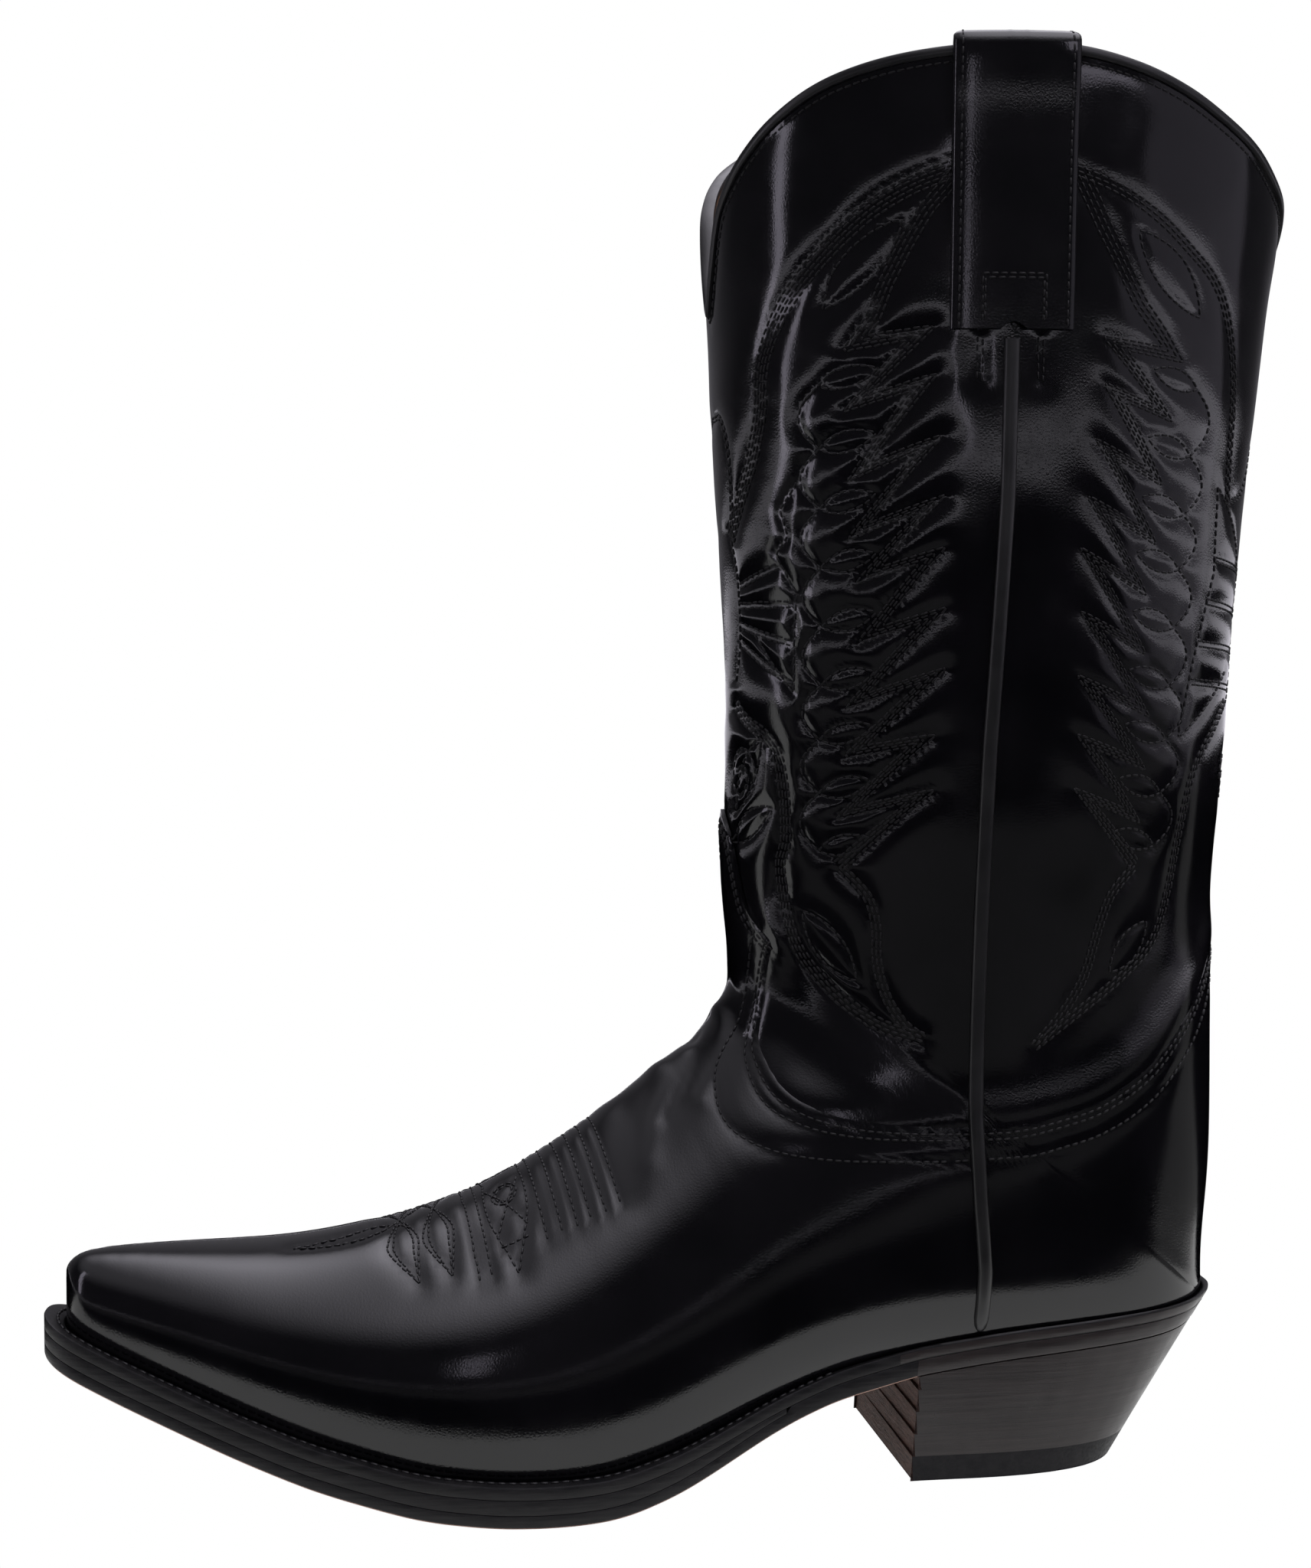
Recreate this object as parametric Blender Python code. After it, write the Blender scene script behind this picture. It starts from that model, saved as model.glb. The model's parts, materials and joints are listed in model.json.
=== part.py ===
"""A black Western boot, left foot, standing on its sole and heel.

Units in this file are millimetres until the last step, which scales the meshes to metres.
+X points to the heel, -Y to the outer side of the foot and +Z up. The origin is on the
floor under the middle of the boot.

The leather lies on one smooth surface, which is a fan of flat sections. Each section runs
from a point at the front of the boot to a point at the feather (the line where the upper
meets the sole) or at the back of the leg. A place on the surface is (k, t, side): k counts
sections from the toe to the top, t goes from 0 at the front to 1 at the feather or the
back, and side is OUTER or INNER.
"""
import math

import bmesh
import bpy
import numpy as np
from mathutils import Vector
from mathutils.geometry import delaunay_2d_cdt

MM = 0.001
OUTER, INNER = -1, 1
GAP = 0.3                      # clearance between pieces that touch

# Foot sections: front x, z, feather x, feather half width (outer, inner side),
# widest half width (outer, inner), where it is widest, roundness above and below.
FOOT_SECTIONS = [
    (-159.7, 57.4, -159.7, 0.0, 0.0, 0.0, 0.0, 0.60, 2.4, 2.4),
    (-159.3, 58.6, -159.3, 4.8, 4.8, 5.2, 5.2, 0.60, 2.4, 2.4),
    (-157.4, 59.9, -157.2, 8.2, 8.4, 8.7, 8.9, 0.60, 2.4, 2.4),
    (-153.0, 60.8, -152.5, 11.2, 11.6, 11.8, 12.2, 0.61, 2.4, 2.4),
    (-143.0, 61.1, -142.0, 16.4, 17.4, 17.2, 18.2, 0.62, 2.4, 2.4),
    (-127.0, 60.9, -125.0, 24.0, 25.6, 25.0, 26.6, 0.63, 2.4, 2.4),
    (-107.0, 60.7, -104.0, 32.4, 34.6, 33.6, 35.8, 0.65, 2.3, 2.4),
    (-87.0, 63.2, -82.0, 39.0, 41.4, 40.4, 42.8, 0.67, 2.2, 2.4),
    (-67.0, 68.3, -60.0, 42.6, 43.2, 44.2, 45.0, 0.69, 2.1, 2.4),
    (-48.0, 76.0, -38.0, 43.2, 39.4, 45.2, 42.6, 0.70, 2.0, 2.4),
    (-30.0, 87.2, -15.0, 40.0, 32.6, 43.2, 38.6, 0.69, 1.95, 2.4),
    (-13.6, 98.2, 10.0, 32.8, 25.4, 39.6, 36.0, 0.66, 1.95, 2.3),
    (-2.4, 106.6, 36.0, 27.6, 23.8, 37.4, 35.4, 0.63, 1.95, 2.3),
    (7.6, 114.2, 64.0, 27.4, 26.6, 36.8, 36.0, 0.60, 1.95, 2.3),
    (14.2, 122.5, 95.0, 29.6, 29.4, 36.6, 36.6, 0.58, 1.95, 2.3),
    (16.4, 132.0, 122.0, 27.4, 27.4, 36.8, 36.8, 0.56, 1.95, 2.2),
    (16.0, 141.0, 138.0, 19.4, 19.4, 37.0, 37.0, 0.55, 1.95, 2.1),
    (15.3, 147.0, 144.6, 10.0, 10.0, 37.2, 37.2, 0.55, 1.95, 2.1),
    (14.9, 151.0, 146.6, 0.0, 0.0, 37.4, 37.4, 0.54, 1.95, 2.0),
]
# Leg sections: front x, z, back x, z, half width, where it is widest, roundness in front.
LEG_SECTIONS = [
    (14.3, 158.0, 146.2, 55.0, 38.0, 0.54, 1.95),
    (13.9, 167.0, 148.6, 76.0, 39.0, 0.53, 1.95),
    (13.4, 179.0, 148.4, 102.0, 40.6, 0.52, 1.95),
    (13.6, 192.0, 147.9, 130.0, 42.8, 0.51, 2.0),
    (13.9, 207.0, 149.4, 158.0, 45.6, 0.50, 2.0),
    (13.2, 226.0, 152.3, 191.0, 49.2, 0.50, 2.0),
    (11.6, 250.0, 154.0, 226.0, 52.6, 0.50, 2.0),
    (9.9, 280.0, 157.4, 265.0, 55.6, 0.50, 2.0),
    (8.6, 310.0, 161.6, 306.0, 57.6, 0.50, 2.0),
    (7.4, 342.0, 167.0, 341.0, 59.0, 0.50, 2.0),
    (6.2, 376.0, 171.6, 376.0, 60.0, 0.50, 2.0),
]
HEEL_CORNER = len(FOOT_SECTIONS) - 1    # the section that ends at the back of the feather
LAST = len(FOOT_SECTIONS) + len(LEG_SECTIONS) - 1

# Underside of the outsole along the boot: x, z. The ball and the heel's foot reach z = 0.
SOLE_PROFILE = [
    (-168, 37.2), (-160, 33.2), (-150, 29.0), (-135, 23.2), (-118, 16.6), (-99, 9.9), (-72, 2.8),
    (-52, 0.4), (-36, 0.0), (-22, 0.5), (-5, 5.2), (8, 11.2), (20, 17.2), (37, 23.8), (60, 28.6),
    (87, 32.0), (111, 33.8), (140, 35.2), (153, 36.0),
]
FOREFOOT_STACK = 7.3           # from the underside of the outsole to the upper's lower edge
HEEL_STACK = 4.6
OUTSOLE_THICKNESS = 3.4        # in front, where a midsole lies on it
MIDSOLE_END = 24.0             # x where the midsole is skived off
WELT_HEIGHT = 3.3
WELT_END = 55.0                # x where the welt gives way to the heel rand
BREAST_X = 60.5                # front face of the heel, at its top
# How far the sole stands out beyond the upper: x, width.
SOLE_MARGIN = [(-165, 6.2), (-150, 5.0), (-20, 5.0), (10, 3.4), (30, 2.4), (60, 2.0), (120, 2.0), (147, 3.2)]

# Distances from the smooth surface, inner and outer face of each layer.
OVERLAY = (0.3, 1.8)           # vamp and counter cover
BODY = (-1.5, 0.0)             # shaft, toe puff and heel stiffener
LINING = (-2.9, -1.8)

# Outlines of the leather pieces: t, z.
RIM = [(0, 309.5), (0.03, 321), (0.06, 333), (0.10, 341.5), (0.14, 348), (0.18, 353.5), (0.235, 359.5),
       (0.29, 363.3), (0.35, 365.8), (0.42, 367.2), (0.50, 367.2), (0.57, 364.2), (0.63, 359.7),
       (0.69, 354), (0.75, 348.5), (0.81, 342.5), (0.88, 337), (0.94, 330.5), (1, 321)]
VAMP_EDGE = [(0, 176.5), (0.04, 171), (0.068, 162), (0.09, 152), (0.125, 146), (0.16, 142), (0.143, 135),
             (0.138, 126), (0.16, 117), (0.208, 110), (0.268, 103), (0.326, 98.3), (0.371, 96.1),
             (0.409, 95.4)]
COUNTER_EDGE = [(0.50, 96.3), (0.546, 98.2), (0.607, 101.4), (0.682, 108.6), (0.744, 117),
                (0.792, 123.8), (0.837, 130.5), (0.88, 136), (0.94, 140), (1, 141.5)]
SHAFT_FOOT = [(0, 108), (0.1, 102), (0.2, 93), (0.32, 85)]
SHAFT_FOOT_BACK = [(0.6, 88), (0.75, 103), (0.88, 118), (1, 122)]
SEAM_FOOT_Z = 83.0             # height of the shaft's lower edge at the side seam
SEAM_VAMP_Z = 95.3             # height of the vamp's and the counter's edges there
# Side seam seen from the side: x, z.
SIDE_SEAM = [(75.6, 37), (75.7, 57), (74.0, 76), (73.0, 95.3), (73.0, 155), (73.2, 195), (75.0, 257),
             (75.0, 301), (76.4, 366)]
STIFFENER_FRONT = [(98, 38), (100, 60), (102, 83)]
TOE_PUFF_END = 5.6             # k of the toe puff's rear edge

NET_ROW = 19.0                 # spacing of the leather's rows of facets
NET_COLUMNS = 9
NET_LINE = 14.0                # spacing of the points along the cut lines
FLAT_K, FLAT_T = 14.0, 150.0   # about how long one section and one t are

HEEL_FLOOR_BREAST = 57.5       # heel's foot: x of the breast and of the back
HEEL_FLOOR_BACK = 122.0
HEEL_FLOOR_NARROWING = 0.93
HEEL_TOP_Z = 33.0
TOP_PIECE = 6.5
LIFTS = [(6.8, 12.6), (12.9, 18.7), (19.0, 24.6)]
SEAT_LIFT_BOTTOM = 24.9

STRAP_CENTRE, STRAP_HALF_WIDTH = 74.9, 15.3
STRAP_THICKNESS = 2.0
STRAP_FOOT_Z = 298.5
PIPING_HALF_WIDTH = 1.6
PIPING_TOP_Z = 296.3

BLACK_LEATHER = ((0.012, 0.012, 0.014), 0.25, 0.0)
TAN_LEATHER = ((0.42, 0.24, 0.12), 0.6, 0.0)
SOLE_LEATHER = ((0.03, 0.025, 0.024), 0.45, 0.0)
STACK_LEATHER = ((0.035, 0.024, 0.02), 0.45, 0.0)
CORK = ((0.35, 0.22, 0.12), 0.9, 0.0)
FIBRE = ((0.6, 0.5, 0.38), 0.8, 0.0)
RUBBER = ((0.02, 0.02, 0.022), 0.7, 0.0)
STEEL = ((0.5, 0.5, 0.5), 0.35, 1.0)
BRASS = ((0.6, 0.42, 0.16), 0.3, 1.0)
WOOD = ((0.7, 0.52, 0.3), 0.6, 0.0)


# ---------------------------------------------------------------- the smooth surface

STEPS = 16                     # samples between two sections


def hermite(values):
    """Samples a curve through the values that never overshoots them."""
    v = np.asarray(values, float)
    d = np.diff(v)
    slope = np.zeros(len(v))
    slope[0], slope[-1] = d[0], d[-1]
    for i in range(1, len(v) - 1):
        if d[i - 1] * d[i] > 0:
            slope[i] = 2 * d[i - 1] * d[i] / (d[i - 1] + d[i])
    s = np.arange(STEPS) / STEPS
    spans = []
    for i in range(len(v) - 1):
        span = v[i] * (1 + 2 * s) * (1 - s) ** 2 + slope[i] * s * (1 - s) ** 2
        span = span + v[i + 1] * s * s * (3 - 2 * s) + slope[i + 1] * s * s * (s - 1)
        spans.append(span)
    spans.append([v[-1]])
    return np.concatenate(spans)


def soften(values, sigma=0.45):
    """Rounds the curve with a bell filter, sigma in sections, and keeps its two ends."""
    r = int(STEPS * sigma * 3)
    head, tail = 2 * values[0] - values[r:0:-1], 2 * values[-1] - values[-2:-r - 2:-1]
    kernel = np.exp(-0.5 * (np.arange(-r, r + 1) / (STEPS * sigma)) ** 2)
    return np.convolve(np.concatenate([head, values, tail]), kernel / kernel.sum(), "valid")


def smooth_profile(points, sigma=5.0):
    """A function of x through the points (x, z), rounded over a few millimetres."""
    xs, zs = np.array(points, float).T
    grid = np.arange(xs[0] - 30, xs[-1] + 30.5, 0.5)
    line = np.interp(grid, xs, zs)
    line = np.where(grid < xs[0], zs[0] + (grid - xs[0]) * (zs[1] - zs[0]) / (xs[1] - xs[0]), line)
    line = np.where(grid > xs[-1], zs[-1] + (grid - xs[-1]) * (zs[-1] - zs[-2]) / (xs[-1] - xs[-2]), line)
    kernel = np.exp(-0.5 * (np.arange(-40, 41) * 0.5 / sigma) ** 2)
    line[40:-40] = np.convolve(line, kernel / kernel.sum(), "valid")
    return lambda x: np.interp(x, grid, line)


sole_underside = smooth_profile(SOLE_PROFILE)
SOLE_DROP = float(min(sole_underside(x) for x in range(-60, -10)))


def sole_z(x):
    """Height of the outsole's underside; its lowest point is on the floor."""
    return sole_underside(x) - SOLE_DROP


def seat_z(x):
    """Height of the upper's lower edge."""
    f = np.clip((np.asarray(x, float) + 20) / 55, 0, 1)
    f = f * f * (3 - 2 * f)
    return sole_z(x) + FOREFOOT_STACK * (1 - f) + HEEL_STACK * f


def section_table():
    """One smooth curve over k for each number that describes a section."""
    rows = []
    for ax, az, bx, eo, ei, wo, wi, widest, above, below in FOOT_SECTIONS:
        rows.append((ax, az, bx, float(seat_z(bx)), eo, ei, wo, wi, widest, above, below))
    for ax, az, bx, bz, w, widest, above in LEG_SECTIONS:
        rows.append((ax, az, bx, bz, 0, 0, w, w, widest, above, 2.0))
    table = []
    corner = HEEL_CORNER * STEPS
    for column, values in enumerate(np.array(rows, float).T):
        curve = hermite(values)
        if column in (2, 3, 4, 5):
            foot, leg = soften(curve[:corner + 1]), soften(curve[corner:])
            table.append(np.concatenate([foot, leg[1:]]))
        else:
            table.append(soften(curve))
    return np.array(table)


TABLE = section_table()


def section(k):
    at = np.clip(np.asarray(k, float), 0, LAST) * STEPS
    index = np.arange(TABLE.shape[1])
    return [np.interp(at, index, curve) for curve in TABLE]


def half_widths(k, side):
    _, _, _, _, eo, ei, wo, wi, _, _, _ = section(k)
    outer = np.asarray(side) < 0
    widest = np.maximum(np.where(outer, wo, wi), 1e-4)
    feather = np.minimum(np.maximum(np.where(outer, eo, ei), 0), widest * 0.985)
    return feather, widest


def surface(k, t, side):
    """The point (x, y, z) at (k, t, side); k and t may be arrays."""
    ax, az, bx, bz, _, _, _, _, middle, above, below = section(k)
    feather, widest = half_widths(k, side)
    t = np.asarray(t, float)
    cut = 1 - (feather / widest) ** below
    front = np.pi * np.clip(t, 0, 0.5)
    back = np.clip(2 * t - 1, 0, 1) * np.arcsin(np.sqrt(cut))
    s_front = middle * (1 - np.cos(front) ** (2 / above))
    y_front = widest * np.sin(front) ** (2 / above)
    s_back = middle + (1 - middle) * np.sin(back) ** (2 / below) / cut ** (1 / below)
    y_back = widest * np.maximum(np.cos(back), 0) ** (2 / below)
    s, y = np.where(t < 0.5, s_front, s_back), np.where(t < 0.5, y_front, y_back)
    return np.stack([ax + s * (bx - ax), np.where(np.asarray(side) < 0, -y, y), az + s * (bz - az)], -1)


def k_at_height(t, z, low=11.0):
    """The k at which the line t of the instep and leg reaches the height z."""
    ks = np.linspace(low, LAST, 400)
    zs = surface(ks, np.full(400, t), OUTER)[:, 2]
    return float(np.interp(z, zs, ks))


def locate(x, z):
    """The (k, t) of a point of the boot's side seen from the side."""
    ks, ts = np.meshgrid(np.linspace(10, LAST, 260), np.linspace(0.25, 1, 160), indexing="ij")
    points = surface(ks, ts, OUTER)
    far = np.hypot(points[..., 0] - x, points[..., 2] - z)
    k, t = (float(a[np.unravel_index(np.argmin(far), far.shape)]) for a in (ks, ts))
    for _ in range(4):
        p = surface(k, t, OUTER)
        step = 1e-3
        dk = (surface(k + step, t, OUTER) - p) / step
        dt = (surface(k, t + step, OUTER) - p) / step
        matrix = np.array([[dk[0], dt[0]], [dk[2], dt[2]]])
        move = np.linalg.lstsq(matrix, np.array([x - p[0], z - p[2]]), rcond=None)[0]
        k, t = k + float(move[0]), min(1.0, t + float(move[1]))
    return k, t


def normal_at(k, t, side):
    """Outward normal of the smooth surface."""
    step = 1e-3
    dk = surface(k + step, t, side) - surface(k - step, t, side)
    dt = surface(k, t + step, side) - surface(k, t - step, side)
    n = np.cross(dt, dk) * -side
    if abs(float(surface(k, t, side)[1])) < 1e-3:
        n[1] = 0
    return n / np.linalg.norm(n)


# ---------------------------------------------------------------- mesh helpers

def material(name, look):
    made = bpy.data.materials.new(name)
    made.use_nodes = True
    shader = made.node_tree.nodes["Principled BSDF"]
    colour, roughness, metallic = look
    shader.inputs["Base Color"].default_value = (*colour, 1)
    shader.inputs["Roughness"].default_value = roughness
    shader.inputs["Metallic"].default_value = metallic
    return made


def add_object(name, points, faces, look):
    """Makes the object from points in millimetres, welded, with its faces pointing out."""
    bm = bmesh.new()
    verts = [bm.verts.new(Vector([float(c) * MM for c in p])) for p in points]
    for face in faces:
        bm.faces.new([verts[i] for i in face])
    bmesh.ops.remove_doubles(bm, verts=bm.verts, dist=1e-6)
    bmesh.ops.dissolve_degenerate(bm, edges=bm.edges, dist=1e-6)
    bmesh.ops.triangulate(bm, faces=bm.faces)
    bmesh.ops.recalc_face_normals(bm, faces=bm.faces)
    mesh = bpy.data.meshes.new(name)
    bm.to_mesh(mesh)
    bm.free()
    mesh.shade_smooth()
    mesh.set_sharp_from_angle(angle=math.radians(35))
    made = bpy.data.objects.new(name, mesh)
    made.data.materials.append(material(name, look))
    bpy.context.scene.collection.objects.link(made)
    return made


def sweep(rings, closed):
    """Points and faces of a bar whose cross-sections are the rings of points."""
    size = len(rings[0])
    points = [p for ring in rings for p in ring]
    faces = []
    for i in range(len(rings) if closed else len(rings) - 1):
        a, b = i * size, ((i + 1) % len(rings)) * size
        faces += [(a + j, a + (j + 1) % size, b + (j + 1) % size, b + j) for j in range(size)]
    if not closed:
        faces.append(tuple(reversed(range(size))))
        faces.append(tuple(range(len(points) - size, len(points))))
    return points, faces


def pin(name, base, top, radius, look, sides=8):
    """A round pin from base to top."""
    base, top = Vector(base), Vector(top)
    turn = (top - base).to_track_quat("Z", "Y")
    circle = [turn @ Vector((math.cos(a), math.sin(a), 0)) * radius
              for a in (2 * math.pi * i / sides for i in range(sides))]
    points, faces = sweep([[base + c for c in circle], [top + c for c in circle]], closed=False)
    return add_object(name, points, faces, look)


def drill(targets, name, base, top, radius):
    """Cuts a round hole through each target."""
    cutter = pin(name, base, top, radius, STEEL)
    cutter.hide_render = True
    cutter.display_type = "WIRE"
    for target in targets:
        hole = target.modifiers.new(name, "BOOLEAN")
        hole.operation = "DIFFERENCE"
        hole.solver = "EXACT"
        hole.object = cutter


# ---------------------------------------------------------------- the leather's net

def seam_place(z):
    """The (k, t) of the side seam at a height."""
    xs, zs = np.array(SIDE_SEAM).T
    return locate(float(np.interp(z, zs, xs)), z)


def flat_place(k, t):
    """Where (k, t) lies on the flat sheet that is cut into triangles, in millimetres or so."""
    return Vector((k * FLAT_K, t * FLAT_T))


def polyline(points, spacing):
    """Adds points so that no gap between neighbours is longer than spacing on the flat sheet."""
    out = [points[0]]
    for a, b in zip(points, points[1:]):
        parts = max(1, round((flat_place(*b) - flat_place(*a)).length / spacing))
        out += [(a[0] + (b[0] - a[0]) * i / parts, a[1] + (b[1] - a[1]) * i / parts)
                for i in range(1, parts + 1)]
    return out


def edge_curves():
    """The lines along which the leather is cut, as lists of (k, t)."""
    seam_top, seam_vamp, seam_foot = seam_place(366.9), seam_place(SEAM_VAMP_Z), seam_place(SEAM_FOOT_Z)
    feather_k = float(np.interp(75.6, section(np.arange(0, HEEL_CORNER, 0.02))[2],
                                np.arange(0, HEEL_CORNER, 0.02)))
    rim = [(k_at_height(t, z), t) for t, z in RIM]
    crossing = next(i for i, place in enumerate(rim) if place[1] > seam_top[1])
    rim.insert(crossing, seam_top)
    vamp = [(k_at_height(t, z), t) for t, z in VAMP_EDGE] + [seam_vamp]
    counter = [seam_vamp] + [(k_at_height(t, z), t) for t, z in COUNTER_EDGE]
    foot = [(k_at_height(t, z), t) for t, z in SHAFT_FOOT] + [seam_foot]
    foot += [(k_at_height(t, z), t) for t, z in SHAFT_FOOT_BACK]
    stiffener = [locate(x, z) for x, z in STIFFENER_FRONT]
    stiffener[0] = (float(np.interp(98, section(np.arange(0, 18, 0.02))[2], np.arange(0, 18, 0.02))), 1.0)
    upper_seam = [seam_top] + [seam_place(z) for z in np.arange(352, 100, -14.0)] + [seam_vamp]
    lower_seam = [seam_vamp, seam_foot] + [seam_place(z) for z in (70, 57, 46)] + [(feather_k, 1.0)]
    return {"upper_seam": upper_seam, "lower_seam": lower_seam, "rim": rim, "vamp": vamp,
            "counter": counter, "foot": foot, "stiffener": stiffener,
            "puff": [(TOE_PUFF_END, 0.0), (TOE_PUFF_END, 1.0)]}


def row_places():
    """The k of each row of facets: every section at the toe, then evenly spaced rows."""
    ks = np.linspace(3, LAST, 800)
    ax, az, bx, bz = section(ks)[:4]
    pace = np.maximum(np.hypot(np.diff(ax), np.diff(az)), np.hypot(np.diff(bx), np.diff(bz)))
    run = np.concatenate([[0], np.cumsum(pace)])
    count = int(run[-1] / NET_ROW)
    rows = [0.0, 1.0, 2.0] + [float(np.interp(run[-1] * i / count, run, ks)) for i in range(count + 1)]
    nearest = min(range(len(rows)), key=lambda i: abs(rows[i] - HEEL_CORNER))
    rows[nearest] = float(HEEL_CORNER)
    return rows


def build_net():
    """Triangles over one half of the boot, with every cut line among their edges."""
    curves = edge_curves()
    places, lines = [], []

    def add(k, t):
        places.append((min(max(k, 0.0), float(LAST)), min(max(t, 0.0), 1.0)))
        return len(places) - 1

    for curve in curves.values():
        fine = polyline(curve, NET_LINE)
        ids = [add(k, t) for k, t in fine]
        lines += list(zip(ids, ids[1:]))
    guides = [flat_place(*p) for p in places]
    for k in row_places():
        for j in range(NET_COLUMNS + 1):
            t = j / NET_COLUMNS
            here = flat_place(k, t)
            if min((here - g).length for g in guides) > 5.0:
                add(k, t)
    flat = [flat_place(*p) for p in places]
    verts, _, faces, _, _, _ = delaunay_2d_cdt(flat, lines, [], 0, 1e-3, False)
    places = [(v[0] / FLAT_K, v[1] / FLAT_T) for v in verts]
    faces = [f for f in faces if triangle_area([verts[i] for i in f]) > 1e-3]
    return places, faces, curves


def triangle_area(corners):
    a, b, c = corners
    return abs((b[0] - a[0]) * (c[1] - a[1]) - (b[1] - a[1]) * (c[0] - a[0])) / 2


def inside(polygon, k, t):
    """Whether (k, t) is inside the polygon."""
    hit = False
    for (k1, t1), (k2, t2) in zip(polygon, polygon[1:] + polygon[:1]):
        if (t1 > t) != (t2 > t) and k < (k2 - k1) * (t - t1) / (t2 - t1) + k1:
            hit = not hit
    return hit


class Net:
    """Both halves of the boot's surface as one welded net of triangles."""

    def __init__(self):
        self.places, self.faces, curves = build_net()
        self.curves = curves
        index, self.points, self.place_of, self.sides = {}, [], [], []
        self.of_side = {OUTER: [], INNER: []}
        for side in (OUTER, INNER):
            for k, t in self.places:
                p = surface(k, t, side)
                key = tuple(round(float(c), 3) for c in p)
                if key not in index:
                    index[key] = len(self.points)
                    self.points.append(p)
                    self.place_of.append((k, t))
                    self.sides.append(side)
                self.of_side[side].append(index[key])
        self.points = np.array(self.points)
        self.triangles = []
        for side in (OUTER, INNER):
            for face in self.faces:
                middle = tuple(np.mean([self.places[i] for i in face], axis=0))
                corners = [self.of_side[side][i] for i in face]
                if len(set(corners)) == 3:
                    if side == INNER:
                        corners.reverse()
                    self.triangles.append((tuple(corners), middle))
        flat = [corners for corners, _ in self.triangles if max(abs(self.points[i][1]) for i in corners) < 1e-3]
        self.triangles = [item for item in self.triangles if item[0] not in flat]
        self.normals = np.array([normal_at(k, t, side) for (k, t), side in zip(self.place_of, self.sides)])

    def region(self, *rules):
        """The triangles whose middle passes every rule."""
        return [corners for corners, (k, t) in self.triangles if all(rule(k, t) for rule in rules)]

    def above(self, name):
        """A rule: higher up the boot than the named line."""
        curve = self.curves[name]
        polygon = curve + [(LAST + 1.0, curve[-1][1]), (LAST + 1.0, curve[0][1])]
        return lambda k, t: inside(polygon, k, t)

    def below(self, name):
        """A rule: lower on the boot than the named line."""
        curve = self.curves[name]
        polygon = curve + [(-1.0, curve[-1][1]), (-1.0, curve[0][1])]
        return lambda k, t: inside(polygon, k, t)

    def behind_seam(self, k, t):
        curve = self.curves["upper_seam"] + self.curves["lower_seam"][1:]
        polygon = [(LAST + 1.0, curve[0][1])] + curve + [(curve[-1][0], 2.0), (LAST + 1.0, 2.0)]
        return inside(polygon, k, t)

    def in_vamp(self, k, t):
        curve = self.curves["vamp"] + self.curves["lower_seam"][1:]
        polygon = curve + [(curve[-1][0], 2.0), (-1.0, 2.0), (-1.0, curve[0][1])]
        return inside(polygon, k, t)

    def behind_stiffener_front(self, k, t):
        curve = self.curves["stiffener"]
        polygon = curve + [(LAST + 1.0, curve[-1][1]), (LAST + 1.0, 2.0), (curve[0][0], 2.0)]
        return inside(polygon, k, t)

    def shell(self, name, triangles, layer, look, trim=0.25):
        """A closed piece of leather between the layer's two faces, trimmed at its edges."""
        used = sorted({i for tri in triangles for i in tri})
        local = {v: i for i, v in enumerate(used)}
        points, normals = self.points[used], self.normals[used]
        tris = [tuple(local[i] for i in tri) for tri in triangles]
        directed = {(tri[i], tri[(i + 1) % 3]) for tri in tris for i in range(3)}
        border = [(a, b) for a, b in directed if (b, a) not in directed]
        pull = np.zeros_like(points)
        centre = {}
        for tri in tris:
            for i in range(3):
                centre[(tri[i], tri[(i + 1) % 3])] = points[list(tri)].mean(axis=0)
        for a, b in border:
            along = points[b] - points[a]
            along /= np.linalg.norm(along)
            inward = centre[(a, b)] - points[a]
            inward = inward - along * inward.dot(along)
            inward /= np.linalg.norm(inward)
            pull[a] += inward
            pull[b] += inward
        length = np.linalg.norm(pull, axis=1)
        edge = length > 1e-6
        pull[edge] *= (trim / np.maximum(length[edge], 0.8))[:, None]
        faces = []
        layers = []
        for depth in layer:
            moved = points + pull + normals * depth
            floor = seat_z(moved[:, 0]) + 0.2
            low = np.array([self.place_of[v][1] > 0.999 and self.place_of[v][0] <= HEEL_CORNER for v in used])
            moved[:, 2] = np.where(low, np.maximum(moved[:, 2], floor), moved[:, 2])
            layers.append(moved)
        count = len(used)
        for a, b, c in tris:
            faces += [(c, b, a), (a + count, b + count, c + count)]
        faces += [(a, b, b + count, a + count) for a, b in border]
        return add_object(name, np.concatenate(layers), faces, look)


def leather_pieces(net):
    """The upper, its linings and its stiffeners."""
    above, below = net.above, net.below
    behind, front = net.behind_seam, lambda k, t: not net.behind_seam(k, t)
    in_rim = below("rim")
    off_foot = above("foot")
    pieces = {
        "vamp": ((net.in_vamp,), OVERLAY, BLACK_LEATHER),
        "counter_cover": ((behind, below("counter")), OVERLAY, BLACK_LEATHER),
        "shaft_front": ((front, in_rim, off_foot), BODY, BLACK_LEATHER),
        "shaft_back": ((behind, in_rim, off_foot), BODY, BLACK_LEATHER),
        "toe_puff": ((lambda k, t: k < TOE_PUFF_END,), BODY, FIBRE),
        "heel_stiffener": ((net.behind_stiffener_front, below("foot")), BODY, FIBRE),
        "lining_front": ((front, in_rim, off_foot), LINING, TAN_LEATHER),
        "lining_back": ((behind, in_rim), LINING, TAN_LEATHER),
        "vamp_lining": ((front, below("foot")), LINING, TAN_LEATHER),
    }
    for name, (rules, layer, look) in pieces.items():
        net.shell(name, net.region(*rules), layer, look)


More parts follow.
